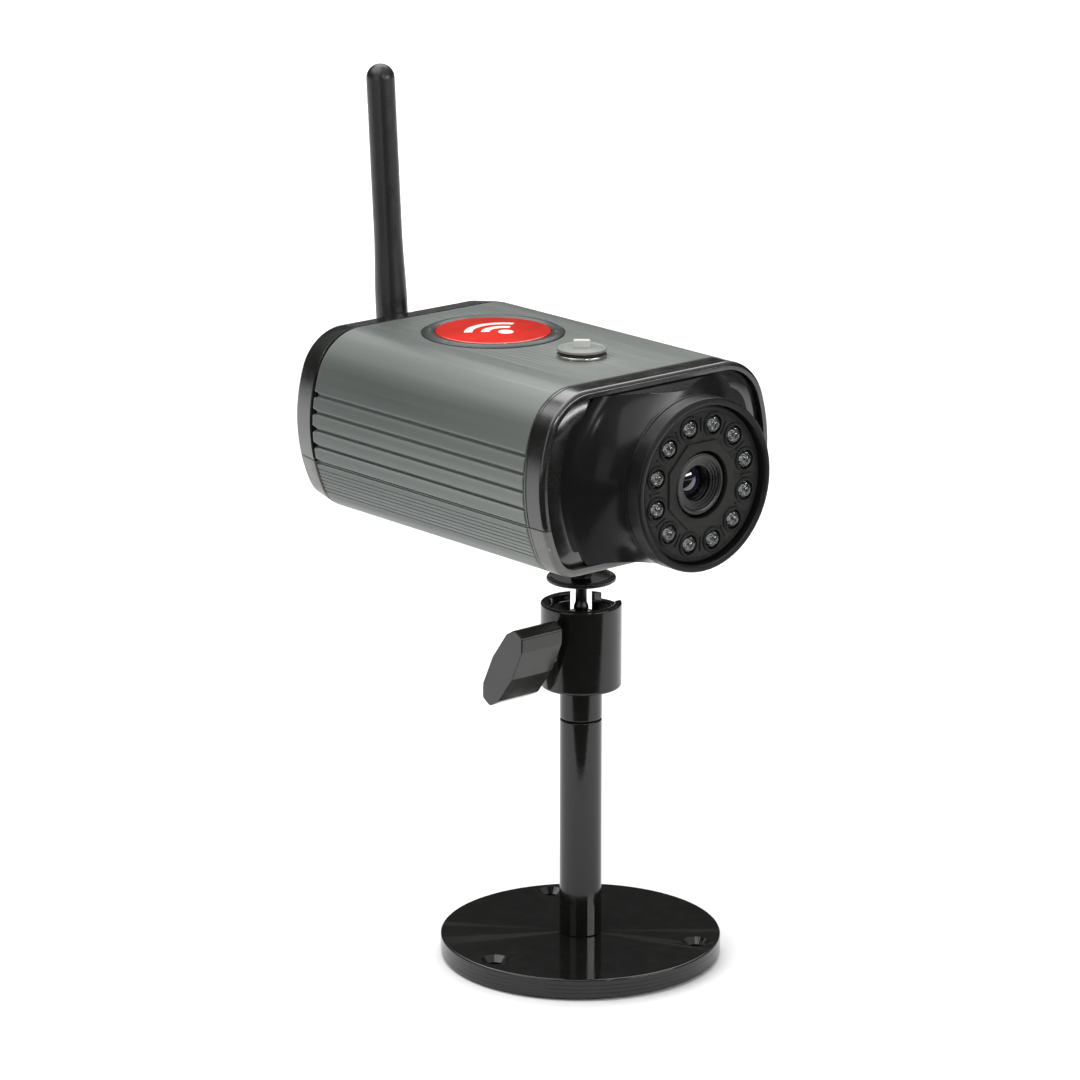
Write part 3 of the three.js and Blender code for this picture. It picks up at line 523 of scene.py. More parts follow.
def bare_metal(name, colour, low=0.16, high=0.34, turned="z"):
    finish = Finish(name, colour, 0.25, 1.0)
    finish.mottled(even(220), 0.08).worn(lighter(colour, 1.3), 0.53, 0.62)
    finish.rough(even(500), low, high)
    lines = {"z": (90, 90, 5200), "y": (90, 5200, 90), "x": (5200, 90, 90)}[turned]
    return finish.grain(lines, 0.004)


def rubber(name, colour):
    finish = Finish(name, colour, 0.8, 0.0, 0.3)
    finish.mottled(even(120), 0.2)
    finish.rough(even(400), 0.66, 0.9)
    finish.set("Sheen Weight", 0.15)
    return finish.grain(even(3400), 0.03)


def circuit_board():
    """Solder mask with tracks and bright pads."""
    green = srgb(28, 84, 50)
    finish = Finish("circuit_board", green, 0.3, 0.0, 0.5)
    finish.mottled(even(90), 0.12)
    brick = finish.nodes.new("ShaderNodeTexBrick")
    brick.inputs["Scale"].default_value = 190.0
    brick.inputs["Mortar Size"].default_value = 0.03
    brick.inputs["Color1"].default_value = srgb(22, 70, 40)
    brick.inputs["Color2"].default_value = srgb(26, 80, 47)
    brick.inputs["Mortar"].default_value = srgb(64, 132, 78)
    finish.links.new(finish.place, brick.inputs["Vector"])
    pads = finish.nodes.new("ShaderNodeTexVoronoi")
    pads.inputs["Scale"].default_value = 420.0
    finish.links.new(finish.place, pads.inputs["Vector"])
    factor = finish.ranged(pads.outputs["Distance"], 0.12, 0.18, 1.0, 0.0)
    finish.paint(finish.mix(factor, brick.outputs["Color"], srgb(188, 168, 110)))
    return finish.grain(even(900), 0.02)


def lamp_clear():
    finish = Finish("lamp_clear", srgb(150, 153, 158), 0.04, 0.0, 1.0)
    finish.mottled(even(300), 0.03)
    finish.rough(even(800), 0.02, 0.06)
    finish.set("Transmission Weight", 0.92).set("IOR", 1.5)
    return finish.grain(even(1200), 0.001)


def coated_glass():
    """Dark glass whose coating turns from blue to violet towards its edge."""
    finish = Finish("coated_glass", srgb(10, 11, 16), 0.03, 0.0, 0.8)
    weight = finish.nodes.new("ShaderNodeLayerWeight")
    weight.inputs["Blend"].default_value = 0.35
    tint = finish.mix(weight.outputs["Facing"], srgb(9, 10, 16), srgb(36, 30, 54))
    finish.paint(tint)
    finish.rough(even(600), 0.02, 0.05)
    finish.set("Coat Weight", 0.8).set("Coat Roughness", 0.02)
    return finish.grain(even(900), 0.001)


MATERIALS = {
    "rubber_pad": rubber("foot_rubber", srgb(38, 38, 38)),
    "stand_paint": painted_metal("stand_paint", srgb(20, 20, 19), 0.06, 0.12),
    "steel": bare_metal("zinc_steel", srgb(176, 176, 172)),
    "clamp_paint": painted_metal("clamp_paint", srgb(19, 19, 18), 0.07, 0.15),
    "brass": bare_metal("brass", srgb(196, 160, 92), 0.2, 0.38, "x"),
    "knob_plastic": satin_plastic("knob_plastic", srgb(26, 26, 24), 0.14, 0.24, 0.55),
    "chrome": bare_metal("polished_chrome", srgb(205, 206, 208), 0.05, 0.12),
    "dark_steel": bare_metal("blackened_steel", srgb(60, 60, 60), 0.26, 0.42),
    "housing_alloy": housing_alloy(),
    "bezel_gloss": gloss_plastic("bezel_gloss", srgb(24, 24, 23), 0.14, 0.26, 0.9),
    "trim_grey": satin_plastic("trim_grey", srgb(92, 92, 89), 0.3, 0.46),
    "barrel_satin": satin_plastic("barrel_satin", srgb(20, 20, 20), 0.26, 0.4, 0.18),
    "plate_matt": satin_plastic("plate_matt", srgb(18, 18, 17), 0.34, 0.52, 0.18),
    "lamp_clear": lamp_clear(),
    "circuit_board": circuit_board(),
    "lens_black": satin_plastic("lens_black", srgb(20, 20, 20), 0.22, 0.4),
    "lens_glass": coated_glass(),
    "sensor_glass": gloss_plastic("sensor_glass", srgb(38, 36, 60), 0.05, 0.1, 0.7),
    "chip_black": satin_plastic("chip_black", srgb(24, 24, 25), 0.4, 0.6, bead=4200),
    "nickel": bare_metal("nickel", srgb(200, 198, 192), 0.14, 0.3),
    "cable_white": satin_plastic("cable_white", srgb(222, 220, 212), 0.34, 0.5, bead=2600),
    "cable_black": rubber("cable_black", srgb(26, 26, 26)),
    "button_grey": satin_plastic("button_grey", srgb(98, 98, 94)),
    "antenna_black": satin_plastic("antenna_black", srgb(26, 26, 26), 0.26, 0.4, bead=2400, relief=0.01),
    "badge_rim": gloss_plastic("badge_rim", srgb(56, 61, 59), 0.24, 0.38, 0.3),
    "badge_red": gloss_plastic("badge_red", srgb(204, 46, 36), 0.1, 0.18, 0.5),
    "plug_grey": satin_plastic("plug_grey", srgb(128, 130, 126), 0.3, 0.46),
}


def dress(obj, slot, body, *nodes, angle=38):
    """Shades a piece, gives it its finish and its body, and hides the CAD nodes that it stands for."""
    shade(obj, angle)
    obj.data.materials.clear()
    obj.data.materials.append(MATERIALS[slot].material)
    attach(obj, body)
    if nodes:
        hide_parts(*nodes)
    return obj


# ---------- stand ----------

HOLE_TURNS = (-176.5, -56.5, 63.5)
HOLE_CIRCLE = 33.9
SINK_RADIUS = 3.9
HOLE_RADIUS = 2.25


def hole_places():
    for turn in HOLE_TURNS:
        angle = math.radians(turn)
        yield HOLE_CIRCLE * math.cos(angle), HOLE_CIRCLE * math.sin(angle)


def make_pad():
    pad = Extent("base_pad")
    radius, top = pad.half[0], pad.high[2]
    profile = [(0, top), (radius - 0.05, top), (radius, top - 0.1), (radius, 0.15), (radius - 0.15, 0)]
    ridge = radius - 2.5
    while ridge > 4:
        profile += [(ridge + 1.0, 0), (ridge + 0.85, 0.25), (ridge + 0.15, 0.25), (ridge, 0)]
        ridge -= 2.5
    obj = lathe("base_pad_ribbed", profile + [(0, 0)], segments=128)
    cut(obj, *[peg("hole", 4, -1, 2, at=place) for place in hole_places()])
    dress(obj, "rubber_pad", "stand", "base_pad")


def make_base():
    base = Extent("base_plate")
    radius, low, top = base.half[0], base.low[2], base.high[2]
    profile = [(0, low), (radius, low, 0.6)]
    for line in (1.55, 2.7, 3.85):
        profile += [(radius, low + line - 0.16), (radius - 0.07, low + line), (radius, low + line + 0.16)]
    profile += [(radius, top, 0.55), (0, top)]
    obj = lathe("base_plate_painted", rounded(profile, 6), segments=192)
    deep = SINK_RADIUS - HOLE_RADIUS
    tools = []
    for place in hole_places():
        cone = [
            (0, low - 1), (HOLE_RADIUS, low - 1), (HOLE_RADIUS, top - deep),
            (SINK_RADIUS, top), (SINK_RADIUS + 1, top + 1), (0, top + 1),
        ]
        tools.append(lathe("sink", cone, at=place, segments=64))
    screw = Extent("base_screw")
    tools.append(peg("pocket", screw.half[0] + GAP, low - 1, 4.2 + GAP))
    tools.append(peg("clearance", 2 + GAP, low, top + 1))
    cut(obj, *tools)
    soften(obj, 0.12, 2, 28)
    dress(obj, "stand_paint", "stand", "base_plate")

    head, shank, seat = screw.half[0], 2.0, 4.2
    obj = lathe("base_screw_head", rounded([
        (0, screw.low[2]), (head, screw.low[2], 0.4), (head, seat, 0.2), (shank, seat, 0.2),
        (shank, screw.high[2], 0.3), (0, screw.high[2]),
    ]), segments=72)
    cut(obj, lathe("drive", [(0, 0), (1.7, 0), (1.7, 2.6), (0, 3.2)], segments=6))
    soften(obj, 0.1, 2, 40)
    dress(obj, "steel", "stand", "base_screw")


def make_post():
    post = Extent("post")
    radius, low, top = post.half[0], post.low[2], post.high[2]
    tap, deep = 2.4, 12
    obj = lathe("post_painted", rounded([
        (tap, low), (radius, low, 0.25), (radius, top, 0.45), (tap, top, 0.3), (tap, top - deep, 0.4),
        (1.0, top - deep), (1.0, low + deep), (tap, low + deep, 0.4),
    ]), segments=96)
    dress(obj, "stand_paint", "stand", "post")


# ---------- ball clamp ----------

BALL = Extent("ball")
CUP = Extent("clamp_cup")
SCREW = Extent("clamp_screw")
CUP_RADIUS = CUP.half[0]
CUP_TOP = CUP.high[2]
CUP_BOTTOM = 80.0
NECK_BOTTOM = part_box("post")[1].z / MM + GAP
MOUTH_RADIUS = 9.4


def make_cup():
    ball_z = BALL.mid[2]
    seat_radius = BALL.half[0] + GAP
    floor = 86.5
    lip = math.asin(3.1 / seat_radius)
    body = lathe("clamp_cup_painted", rounded([
        (0, CUP.low[2]), (2.0, CUP.low[2], 0.3), (2.0, NECK_BOTTOM), (6.0, NECK_BOTTOM, 0.45),
        (6.0, CUP_BOTTOM, 0.8), (CUP_RADIUS, CUP_BOTTOM, 0.9), (CUP_RADIUS, CUP_TOP, 0.7),
        (MOUTH_RADIUS, CUP_TOP, 0.5), (MOUTH_RADIUS, CUP_TOP - 2.4, 0.4),
        (seat_radius * math.cos(lip), ball_z + 3.1, 0.3), (seat_radius, ball_z), (seat_radius, floor, 1.2),
        (0, floor),
    ], 6), segments=144)
    half = 3.0
    turn = math.radians(49)
    slot = [(half, CUP_TOP + 1)] + arc_points((0, 96.0), half, 0, -math.pi, 20) + [(-half, CUP_TOP + 1)]
    reach = (seat_radius / 2, CUP_RADIUS + 2)
    notch = loft("notch", [[
        (d * math.cos(turn) - u * math.sin(turn), d * math.sin(turn) + u * math.cos(turn), z) for u, z in slot
    ] for d in reach])
    step = block("step", (6.0, -4.9, 102.5), (CUP_RADIUS + 2, 4.9, CUP_TOP + 2), math.radians(-6.5))
    hole = peg("hole", 2.6, -CUP_RADIUS - 2, 0, "x", (0, SCREW.mid[2]))
    cut(body, notch, step, hole)
    soften(body, 0.16, 2, 34)
    dress(body, "clamp_paint", "stand", "clamp_cup")


def make_screw_and_knob():
    shoe = Extent("clamp_shoe")
    at = (0, SCREW.mid[2])
    radius = shoe.half[2]
    obj = lathe("clamp_shoe_turned", rounded([
        (0, shoe.low[0]), (radius, shoe.low[0], 0.2), (radius, shoe.high[0], 0.5),
        (radius - 0.9, shoe.high[0], 0.2),
        (0, shoe.high[0] - 0.25),
    ]), "x", at, 48)
    dress(obj, "brass", "shoe", "clamp_shoe")

    obj = threaded("clamp_screw_thread", SCREW.half[2], 0.32, 0.8, SCREW.low[0], SCREW.high[0], "x", at)
    dress(obj, "steel", "wing_screw", "clamp_screw", angle=50)

    knob = Extent("thumb_knob")
    long, wide, turn = 13.4, 4.9, math.radians(121.6)
    half = [(long, 1.8, 0.8), (long * 0.72, wide * 0.8, 0.4), (0, wide, 0.4)]
    side = half + [(-u, v, f) for u, v, f in half[1::-1]]
    wing = rounded(side + [(u, -v, f) for u, v, f in side[::-1]], 4, closed=True)
    rings = []
    for x, shrink in ((knob.low[0], 0.3), (knob.low[0] + 0.1, 0.1), (knob.low[0] + 0.3, 0),
                      (knob.high[0] - 0.3, 0), (knob.high[0] - 0.1, 0.1), (knob.high[0], 0.3)):
        ring = []
        for u, v in wing:
            u, v = u * (1 - shrink / long), v * (1 - shrink / wide)
            y = u * math.cos(turn) - v * math.sin(turn)
            ring.append((x, y, at[1] + u * math.sin(turn) + v * math.cos(turn)))
        rings.append(ring)
    obj = loft("thumb_knob_wing", rings)
    cut(obj, peg("socket", SCREW.half[2] + 0.1, -22, 0, "x", at))
    dress(obj, "knob_plastic", "wing_screw", "thumb_knob", angle=24)


def make_ball_stud():
    radius, z = BALL.half[2], BALL.mid[2]
    obj = lathe("ball_polished", [(radius * math.cos(a), z + radius * math.sin(a))
                                  for a in spread(-math.pi / 2, math.pi / 2, 48)], segments=96)
    dress(obj, "chrome", "ball", "ball")

    stud = Extent("ball_stud")
    root = z + radius + 0.02
    neck_top = 110.2
    neck = lathe("neck", rounded([
        (0, root), (2.1, root, 0.1), (2.1, root + 0.8, 0.4), (1.6, root + 2.0, 0.6),
        (1.6, neck_top + 0.2), (0, neck_top + 0.2),
    ]), segments=64)
    thread = threaded("ball_stud_turned", stud.half[0], 0.5, 1.27, neck_top, stud.high[2])
    join(thread, neck)
    dress(thread, "dark_steel", "stud", "ball_stud", angle=50)

    disc = Extent("lock_disc")
    rim, low, high = disc.half[0], disc.low[2], disc.high[2]
    bore = stud.half[0] + GAP

    def knurl(r, _height, angle):
        return r - ripple(72, 0.16, angle) if r > rim - 0.3 else r

    obj = lathe("lock_disc_turned", rounded([
        (bore, low), (4.6, low, 0.2), (5.0, low + 0.35, 0.2), (rim - 0.5, low + 0.1, 0.3),
        (rim, low + 0.45, 0.15),
        (rim, high - 0.3, 0.25), (rim - 0.5, high, 0.3), (rim - 1.6, high - 0.25, 0.3), (bore, high - 0.25),
    ], 5), segments=288, shape=knurl)
    dress(obj, "clamp_paint", "lock_disc", "lock_disc", angle=50)


# ---------- housing and bezels ----------

GROOVE_PITCH = 4.93
SEAM_GROOVE = (0.75, 0.55)
GROOVES = [(SEAM + i * GROOVE_PITCH, 0.9, 0.8) for i in range(1, 5)] + [(SEAM + GAP / 2, *SEAM_GROOVE)]
FINE_RIBS = [(SEAM - GAP / 2, *SEAM_GROOVE)] + [(SEAM - 2.2 - 1.15 * i, 0.34, 0.16) for i in range(7)]
WALL = 2.2
BADGE = Extent("badge_ring")


def housing_stations(part, upper, grooves):
    """The extrusion's ends are rounded, and its grooves open out at the rear."""
    front, rear = part.low[1], part.high[1]
    plan = [
        (front, 0.3, 1.0), (front + 0.1, 0.12, 1.0), (front + 0.3, 0.0, 1.0), (rear - 2.2, 0.0, 1.0),
        (rear - 1.6, 0.0, 1.25), (rear - 1.0, 0.0, 1.6), (rear - 0.35, 0.0, WIDEST_FLARE),
        (rear - 0.12, 0.14, WIDEST_FLARE), (rear, 0.35, WIDEST_FLARE),
    ]
    inner = part_outline(WALL, upper, [(z, width, 0.0) for z, width, _ in grooves])
    return [(y, part_outline(inset, upper, grooves, flare), inner) for y, inset, flare in plan]


def make_housing():
    upper = Extent("housing_upper")
    obj = shell("housing_upper_extrusion", housing_stations(upper, True, GROOVES))
    seat = peg("seat", BADGE.half[0] + GAP, BODY_TOP - 0.5, BODY_TOP + 1, at=(0, BADGE.mid[1]), segments=160)
    hole = peg("hole", 5 + GAP, BODY_TOP - 2 * WALL, BODY_TOP + 1)
    cut(obj, seat, hole)
    dress(obj, "housing_alloy", "camera", "housing_upper", angle=30)

    lower = Extent("housing_lower")
    obj = shell("housing_lower_extrusion", housing_stations(lower, False, FINE_RIBS))
    cut(obj, peg("hole", 5 + GAP, BODY_BOTTOM - 1, BODY_BOTTOM + 2 * WALL))
    standoffs = []
    for x in (-27, 27):
        for y in (-12, 46):
            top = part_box("main_board")[0].z / MM - 0.1
            standoffs.append(lathe("standoff", rounded([
                (1.2, BODY_BOTTOM + WALL - 0.2), (2.6, BODY_BOTTOM + WALL - 0.2), (2.6, top, 0.3), (1.2, top),
            ]), at=(x, y), segments=32))
    join(obj, *standoffs)
    dress(obj, "housing_alloy", "camera", "housing_lower", angle=30)


def bezel(name, upper, plan, inner_inset, slot, node):
    """A rounded frame from a plan of (y, outer inset, extra inner inset, scale)."""
    stations = [
        (y, part_outline(inset, upper, scale=scale), part_outline(inner_inset + extra, upper))
        for y, inset, extra, scale in plan
    ]
    obj = shell(name, stations)
    soften(obj, 0.15, 2, 50)
    dress(obj, slot, "camera", node, angle=40)


def make_front_bezel():
    part = Extent("front_bezel")
    face, back, lip = part.low[1], part.high[1], 2.2
    radius = 1.3
    plan = [(face, radius, 0.0, 1.0)]
    for step in range(1, 9):
        angle = math.pi / 2 * step / 8
        plan.append((face + radius * (1 - math.cos(angle)), radius * (1 - math.sin(angle)), 0.0, 1.0))
    plan += [(back - 1.35, 0, 0, 1.0), (back - 1.2, 0.16, 0, 1.0), (back - 0.95, 0.16, 0, 1.0),
             (back - 0.8, 0, 0, 1.0), (back - 0.2, 0, 0, 1.0), (back, 0.2, 0, 1.0)]
    bezel("front_bezel_moulded", True, plan, lip, "bezel_gloss", "front_bezel")
    bezel("front_trim_moulded", False, plan, lip, "trim_grey", "front_trim")


def make_rear_bezel():
    part = Extent("rear_bezel")
    front, face, lip = part.low[1], part.high[1], 3.5
    taper, radius = 0.05, 1.6

    def scale(y):
        return 1 - taper * (y - front) / (face - front)

    plan = [(front, 1.0, 0), (front + 0.7, 1.0, 0), (front + 0.75, 0.3, 0), (front + 0.95, 0.0, 0),
            (front + 4, 0.0, 0)]
    for step in range(0, 9):
        angle = math.pi / 2 * step / 8
        plan.append((face - radius * (1 - math.sin(angle)), radius * (1 - math.cos(angle)), 0))
    plan = [(y, inset, extra, scale(y)) for y, inset, extra in plan]
    bezel("rear_bezel_moulded", True, plan, lip, "bezel_gloss", "rear_bezel")
    bezel("rear_trim_moulded", False, plan, lip, "trim_grey", "rear_trim")


# ---------- front panel, barrel, lamps and lens ----------

BARREL = Extent("barrel_ring")
AXIS = (0, BARREL.mid[2])
RING_RADIUS = BARREL.half[0]
RING_FRONT = BARREL.low[1]
RING_BACK = BARREL.high[1]


def make_front_panel():
    part = Extent("front_panel")
    back, rim = part.high[1], part.low[1]
    face = -31.3
    tube_radius, bore, flare = 23.9, 21.5, 33.5
    inset = 2.2 + GAP
    roll, depth = 5.0, 1.3

    def ring(y, extra):
        return [(x, y, z) for x, z in outline(inset + extra)]

    rings = [ring(back, 0.0)]
    for t in spread(0.0, 1.0, 12):
        rings.append(ring(face + depth * (1 - t) ** 2, roll * t))
    panel = loft("front_panel_gloss", rings)
    profile = [(0, back - 0.2), (flare, back - 0.2)]
    for angle in spread(0, math.pi / 2, 40):
        radius = flare - (flare - tube_radius) * math.sin(angle)
        profile.append((radius, face - (face - rim) * (1 - math.cos(angle))))
    cone = lathe("cone", profile + [(0, rim)], "y", AXIS, 192)
    prism = loft("prism", [ring(back - 0.1, 0.0), ring(rim - 2, 0.0)])
    boolean(cone, "INTERSECT", prism)
    tube = lathe("tube", [(0, -31.9), (tube_radius, -31.9), (tube_radius, rim), (0, rim)], "y", AXIS, 192)
    join(panel, cone, tube)
    cut(panel, peg("bore", bore, rim - 1, back + 1, "y", AXIS, 160))
    dress(panel, "bezel_gloss", "camera", "front_panel", angle=30)
    panel.data.materials.append(PANEL_FACE.material)
    for polygon in panel.data.polygons:
        on_roll = polygon.center.y > (face + 0.02) * MM
        polygon.material_index = 0 if on_roll else 1


def make_barrel_ring():
    plate = Extent("lamp_plate")
    inner = plate.half[0] + GAP
    front, back = RING_FRONT, RING_BACK
    obj = lathe("barrel_ring_satin", rounded([
        (inner - 0.9, back), (RING_RADIUS, back, 0.35), (RING_RADIUS, back - 1.0),
        (RING_RADIUS - 0.22, back - 1.15),
        (RING_RADIUS - 0.22, back - 1.4), (RING_RADIUS, back - 1.55), (RING_RADIUS, front, 1.0),
        (RING_RADIUS - 1.3, front + 0.02, 0.2), (inner + 0.1, front + 0.25, 0.35),
        (inner, plate.high[1] + GAP),
        (inner - 0.9, plate.high[1] + GAP),
    ], 6), "y", AXIS, 192)
    dress(obj, "barrel_satin", "camera", "barrel_ring")


LAMP_COUNT = 12
LAMP_CIRCLE = 16.7
LAMP_PLACES = [polar(LAMP_CIRCLE, math.radians(15 + 30 * i), AXIS) for i in range(LAMP_COUNT)]


def make_lamp_plate():
    plate = Extent("lamp_plate")
    radius, back = plate.half[0], plate.high[1]
    face = plate.low[1] + 0.5
    obj = lathe("lamp_plate_moulded", rounded([
        (9.4, back), (radius, back), (radius, face + 0.15, 0.1), (radius - 0.7, face, 0.2),
        (radius - 1.0, face + 0.12), (radius - 1.3, face, 0.1), (9.4, face),
    ], 3), "y", AXIS, 192)
    flat = 11.9
    corner = flat / math.cos(math.pi / 8)
    rings = []
    for y, shrink in ((face + 0.3, 0.0), (face - 0.32, 0.0), (face - 0.5, 0.2)):
        ring = []
        for i in range(8):
            angle = math.pi / 8 + math.pi / 4 * i
            r = corner - shrink
            ring.append((r * math.cos(angle), y, AXIS[1] + r * math.sin(angle)))
        rings.append(ring)
    collars = []
    for at in LAMP_PLACES:
        collars.append(lathe("collar", rounded([
            (0, face + 0.3), (3.6, face + 0.3), (3.5, face - 0.3, 0.15), (3.1, face - 0.38, 0.1),
            (0, face - 0.38),
        ], 3), "y", at, 48))
    ribs = []
    for i in range(LAMP_COUNT):
        angle = math.radians(30 * i)
        c, s = math.cos(angle), math.sin(angle)
        rib = []
        for y, shrink in ((face + 0.3, 0.0), (face - 0.25, 0.0), (face - 0.36, 0.12)):
            length, width = 1.9 - shrink, 0.32 - shrink
            rib.append([
                ((LAMP_CIRCLE + u) * c - v * s, y, AXIS[1] + (LAMP_CIRCLE + u) * s + v * c)
                for u, v in ((-length, -width), (length, -width), (length, width), (-length, width))
            ])
        ribs.append(loft("rib", rib))
    join(obj, loft("frame", rings), gather("collars", collars + ribs))
    holes = [peg("bore", 9.4, -60, 0, "y", AXIS, 128)]
    for at in LAMP_PLACES:
        holes.append(peg("hole", 2.45 + GAP, -60, 0, "y", at, 48))
    cut(obj, *holes)
    soften(obj, 0.1, 2, 34)
    dress(obj, "plate_matt", "camera", "lamp_plate", angle=34)


def make_lamps():
    leads = []
    for i, at in enumerate(LAMP_PLACES):
        node = f"lamp_{i + 1:02d}"
        part = Extent(node)
        back, tip, radius, flange = part.high[1], part.low[1], 2.45, part.half[0]
        profile = [(0, back), (flange, back, 0.1), (flange, back - 1, 0.1), (radius, back - 1, 0.1)]
        dome = [
            (radius * math.cos(a), tip + radius - radius * math.sin(a)) for a in spread(0, math.pi / 2, 16)
        ]
        obj = lathe(f"{node}_clear", rounded(profile) + dome[:-1] + [(0, tip)], "y", at, 48)
        dress(obj, "lamp_clear", "camera", node)
        cup = lathe("cup", [
            (0, back - 1.2), (0.7, back - 1.2), (0.75, tip + 2.6), (1.1, tip + 2.1), (0.95, tip + 2.1),
            (0.5, tip + 2.5), (0, tip + 2.5),
        ], "y", (at[0] - 0.35, at[1]), 24)
        leads.append(cup)
        low, high = (at[0] + 0.9, tip + 2.3, at[1] - 0.25), (at[0] + 1.4, back - 1.2, at[1] + 0.25)
        leads.append(block("post", low, high))
    obj = gather("lamp_reflector_cups", leads)
    dress(obj, "nickel", "camera")


def make_lens():
    ring = Extent("lens_ring")
    radius, back, front = ring.half[0], ring.high[1], ring.low[1]
    barrel = Extent("lens_barrel")
    inner = barrel.half[0] + GAP
    mouth = 5.2

    def knurl(r, height, angle):
        on_rim = r > radius - 0.2 and height > front + 0.9
        return r - ripple(60, 0.14, angle) if on_rim else r

    steps = []
    for i in range(4):
        r = radius - 1.2 - (radius - 1.2 - mouth) * i / 3.2
        y = front + 0.15 + 1.5 * i / 4
        steps += [(r, y), (r - 0.3, y + 0.06), (r - 0.34, y + 0.36)]
    obj = lathe("lens_ring_knurled", rounded([
        (inner, back), (radius, back, 0.3), (radius, front + 1.0), (radius, front + 0.85),
        (radius, front, 0.45),
        (radius - 0.9, front, 0.15),
    ] + steps + [
        (mouth, front + 1.9, 0.1), (mouth, barrel.low[1] - GAP, 0.1), (inner, barrel.low[1] - GAP),
    ], 4),
        "y", AXIS, 240, knurl)
    dress(obj, "lens_black", "lens", "lens_ring", angle=40)

    head, shank, shoulder = barrel.half[0], 5.8, -41.0
    lead = [(shank, barrel.high[1])]
    y = barrel.high[1] - 0.5
    while y > shoulder + 0.6:
        lead += [(shank, y), (shank - 0.25, y - 0.25)]
        y -= 0.5
    obj = lathe("lens_barrel_turned", rounded([(0, barrel.high[1])] + lead + [
        (shank, shoulder), (head, shoulder, 0.2), (head, barrel.low[1], 0.3), (4.9, barrel.low[1], 0.15),
        (4.75, -45.4), (4.9, -45.2), (4.7, -44.6), (4.85, -44.4), (4.6, -43.1), (0, -43.1),
    ], 3), "y", AXIS, 96)
    dress(obj, "lens_black", "lens", "lens_barrel", angle=40)

    glass = Extent("lens_glass")
    edge, rear, crown = glass.half[0], glass.high[1], glass.low[1]
    height = 1.4
    sphere = (edge**2 + height**2) / (2 * height)
    dome = []
    for a in spread(math.asin(edge / sphere), 0, 20):
        dome.append((sphere * math.sin(a), crown + sphere - sphere * math.cos(a)))
    obj = lathe("lens_glass_domed", [(0, rear), (edge, rear)] + dome[:-1] + [(0, crown)], "y", AXIS, 96)
    dress(obj, "lens_glass", "lens", "lens_glass")


# ---------- rear panel and sockets ----------

PANEL = Extent("rear_panel")
NETWORK = Extent("network_socket")
POWER = Extent("power_socket")
RESET = Extent("reset_button")
SCREWS = [Extent("panel_screw_left"), Extent("panel_screw_right")]
PIVOT = Extent("antenna_pin")
JACK = Extent("antenna_socket")


def make_rear_panel():
    inner, outer = PANEL.low[1], PANEL.high[1]
    rings = [[(x, y, z) for x, z in outline(3.5 + GAP + extra)]
             for y, extra in ((inner, 0.0), (outer - 0.2, 0.0), (outer, 0.2))]
    obj = loft("rear_panel_moulded", rings)
    holes = []
    for socket in (NETWORK, POWER):
        holes.append(block(
            "hole", (socket.low[0] - GAP, inner - 1, socket.low[2] - GAP),
            (socket.high[0] + GAP, outer + 1, socket.high[2] + GAP),
        ))
    holes.append(peg("hole", RESET.half[0] + GAP, inner - 1, outer + 1, "y", (RESET.mid[0], RESET.mid[2])))
    holes.append(peg("hole", 3.1 + GAP, inner - 1, outer + 1, "y", (0, JACK.mid[2])))
    for screw in SCREWS:
        holes.append(peg("hole", 1.4 + GAP, inner - 1, outer + 1, "y", (screw.mid[0], screw.mid[2])))
    cut(obj, *holes)
    soften(obj, 0.18, 2, 34)
    dress(obj, "plate_matt", "camera", "rear_panel", angle=34)


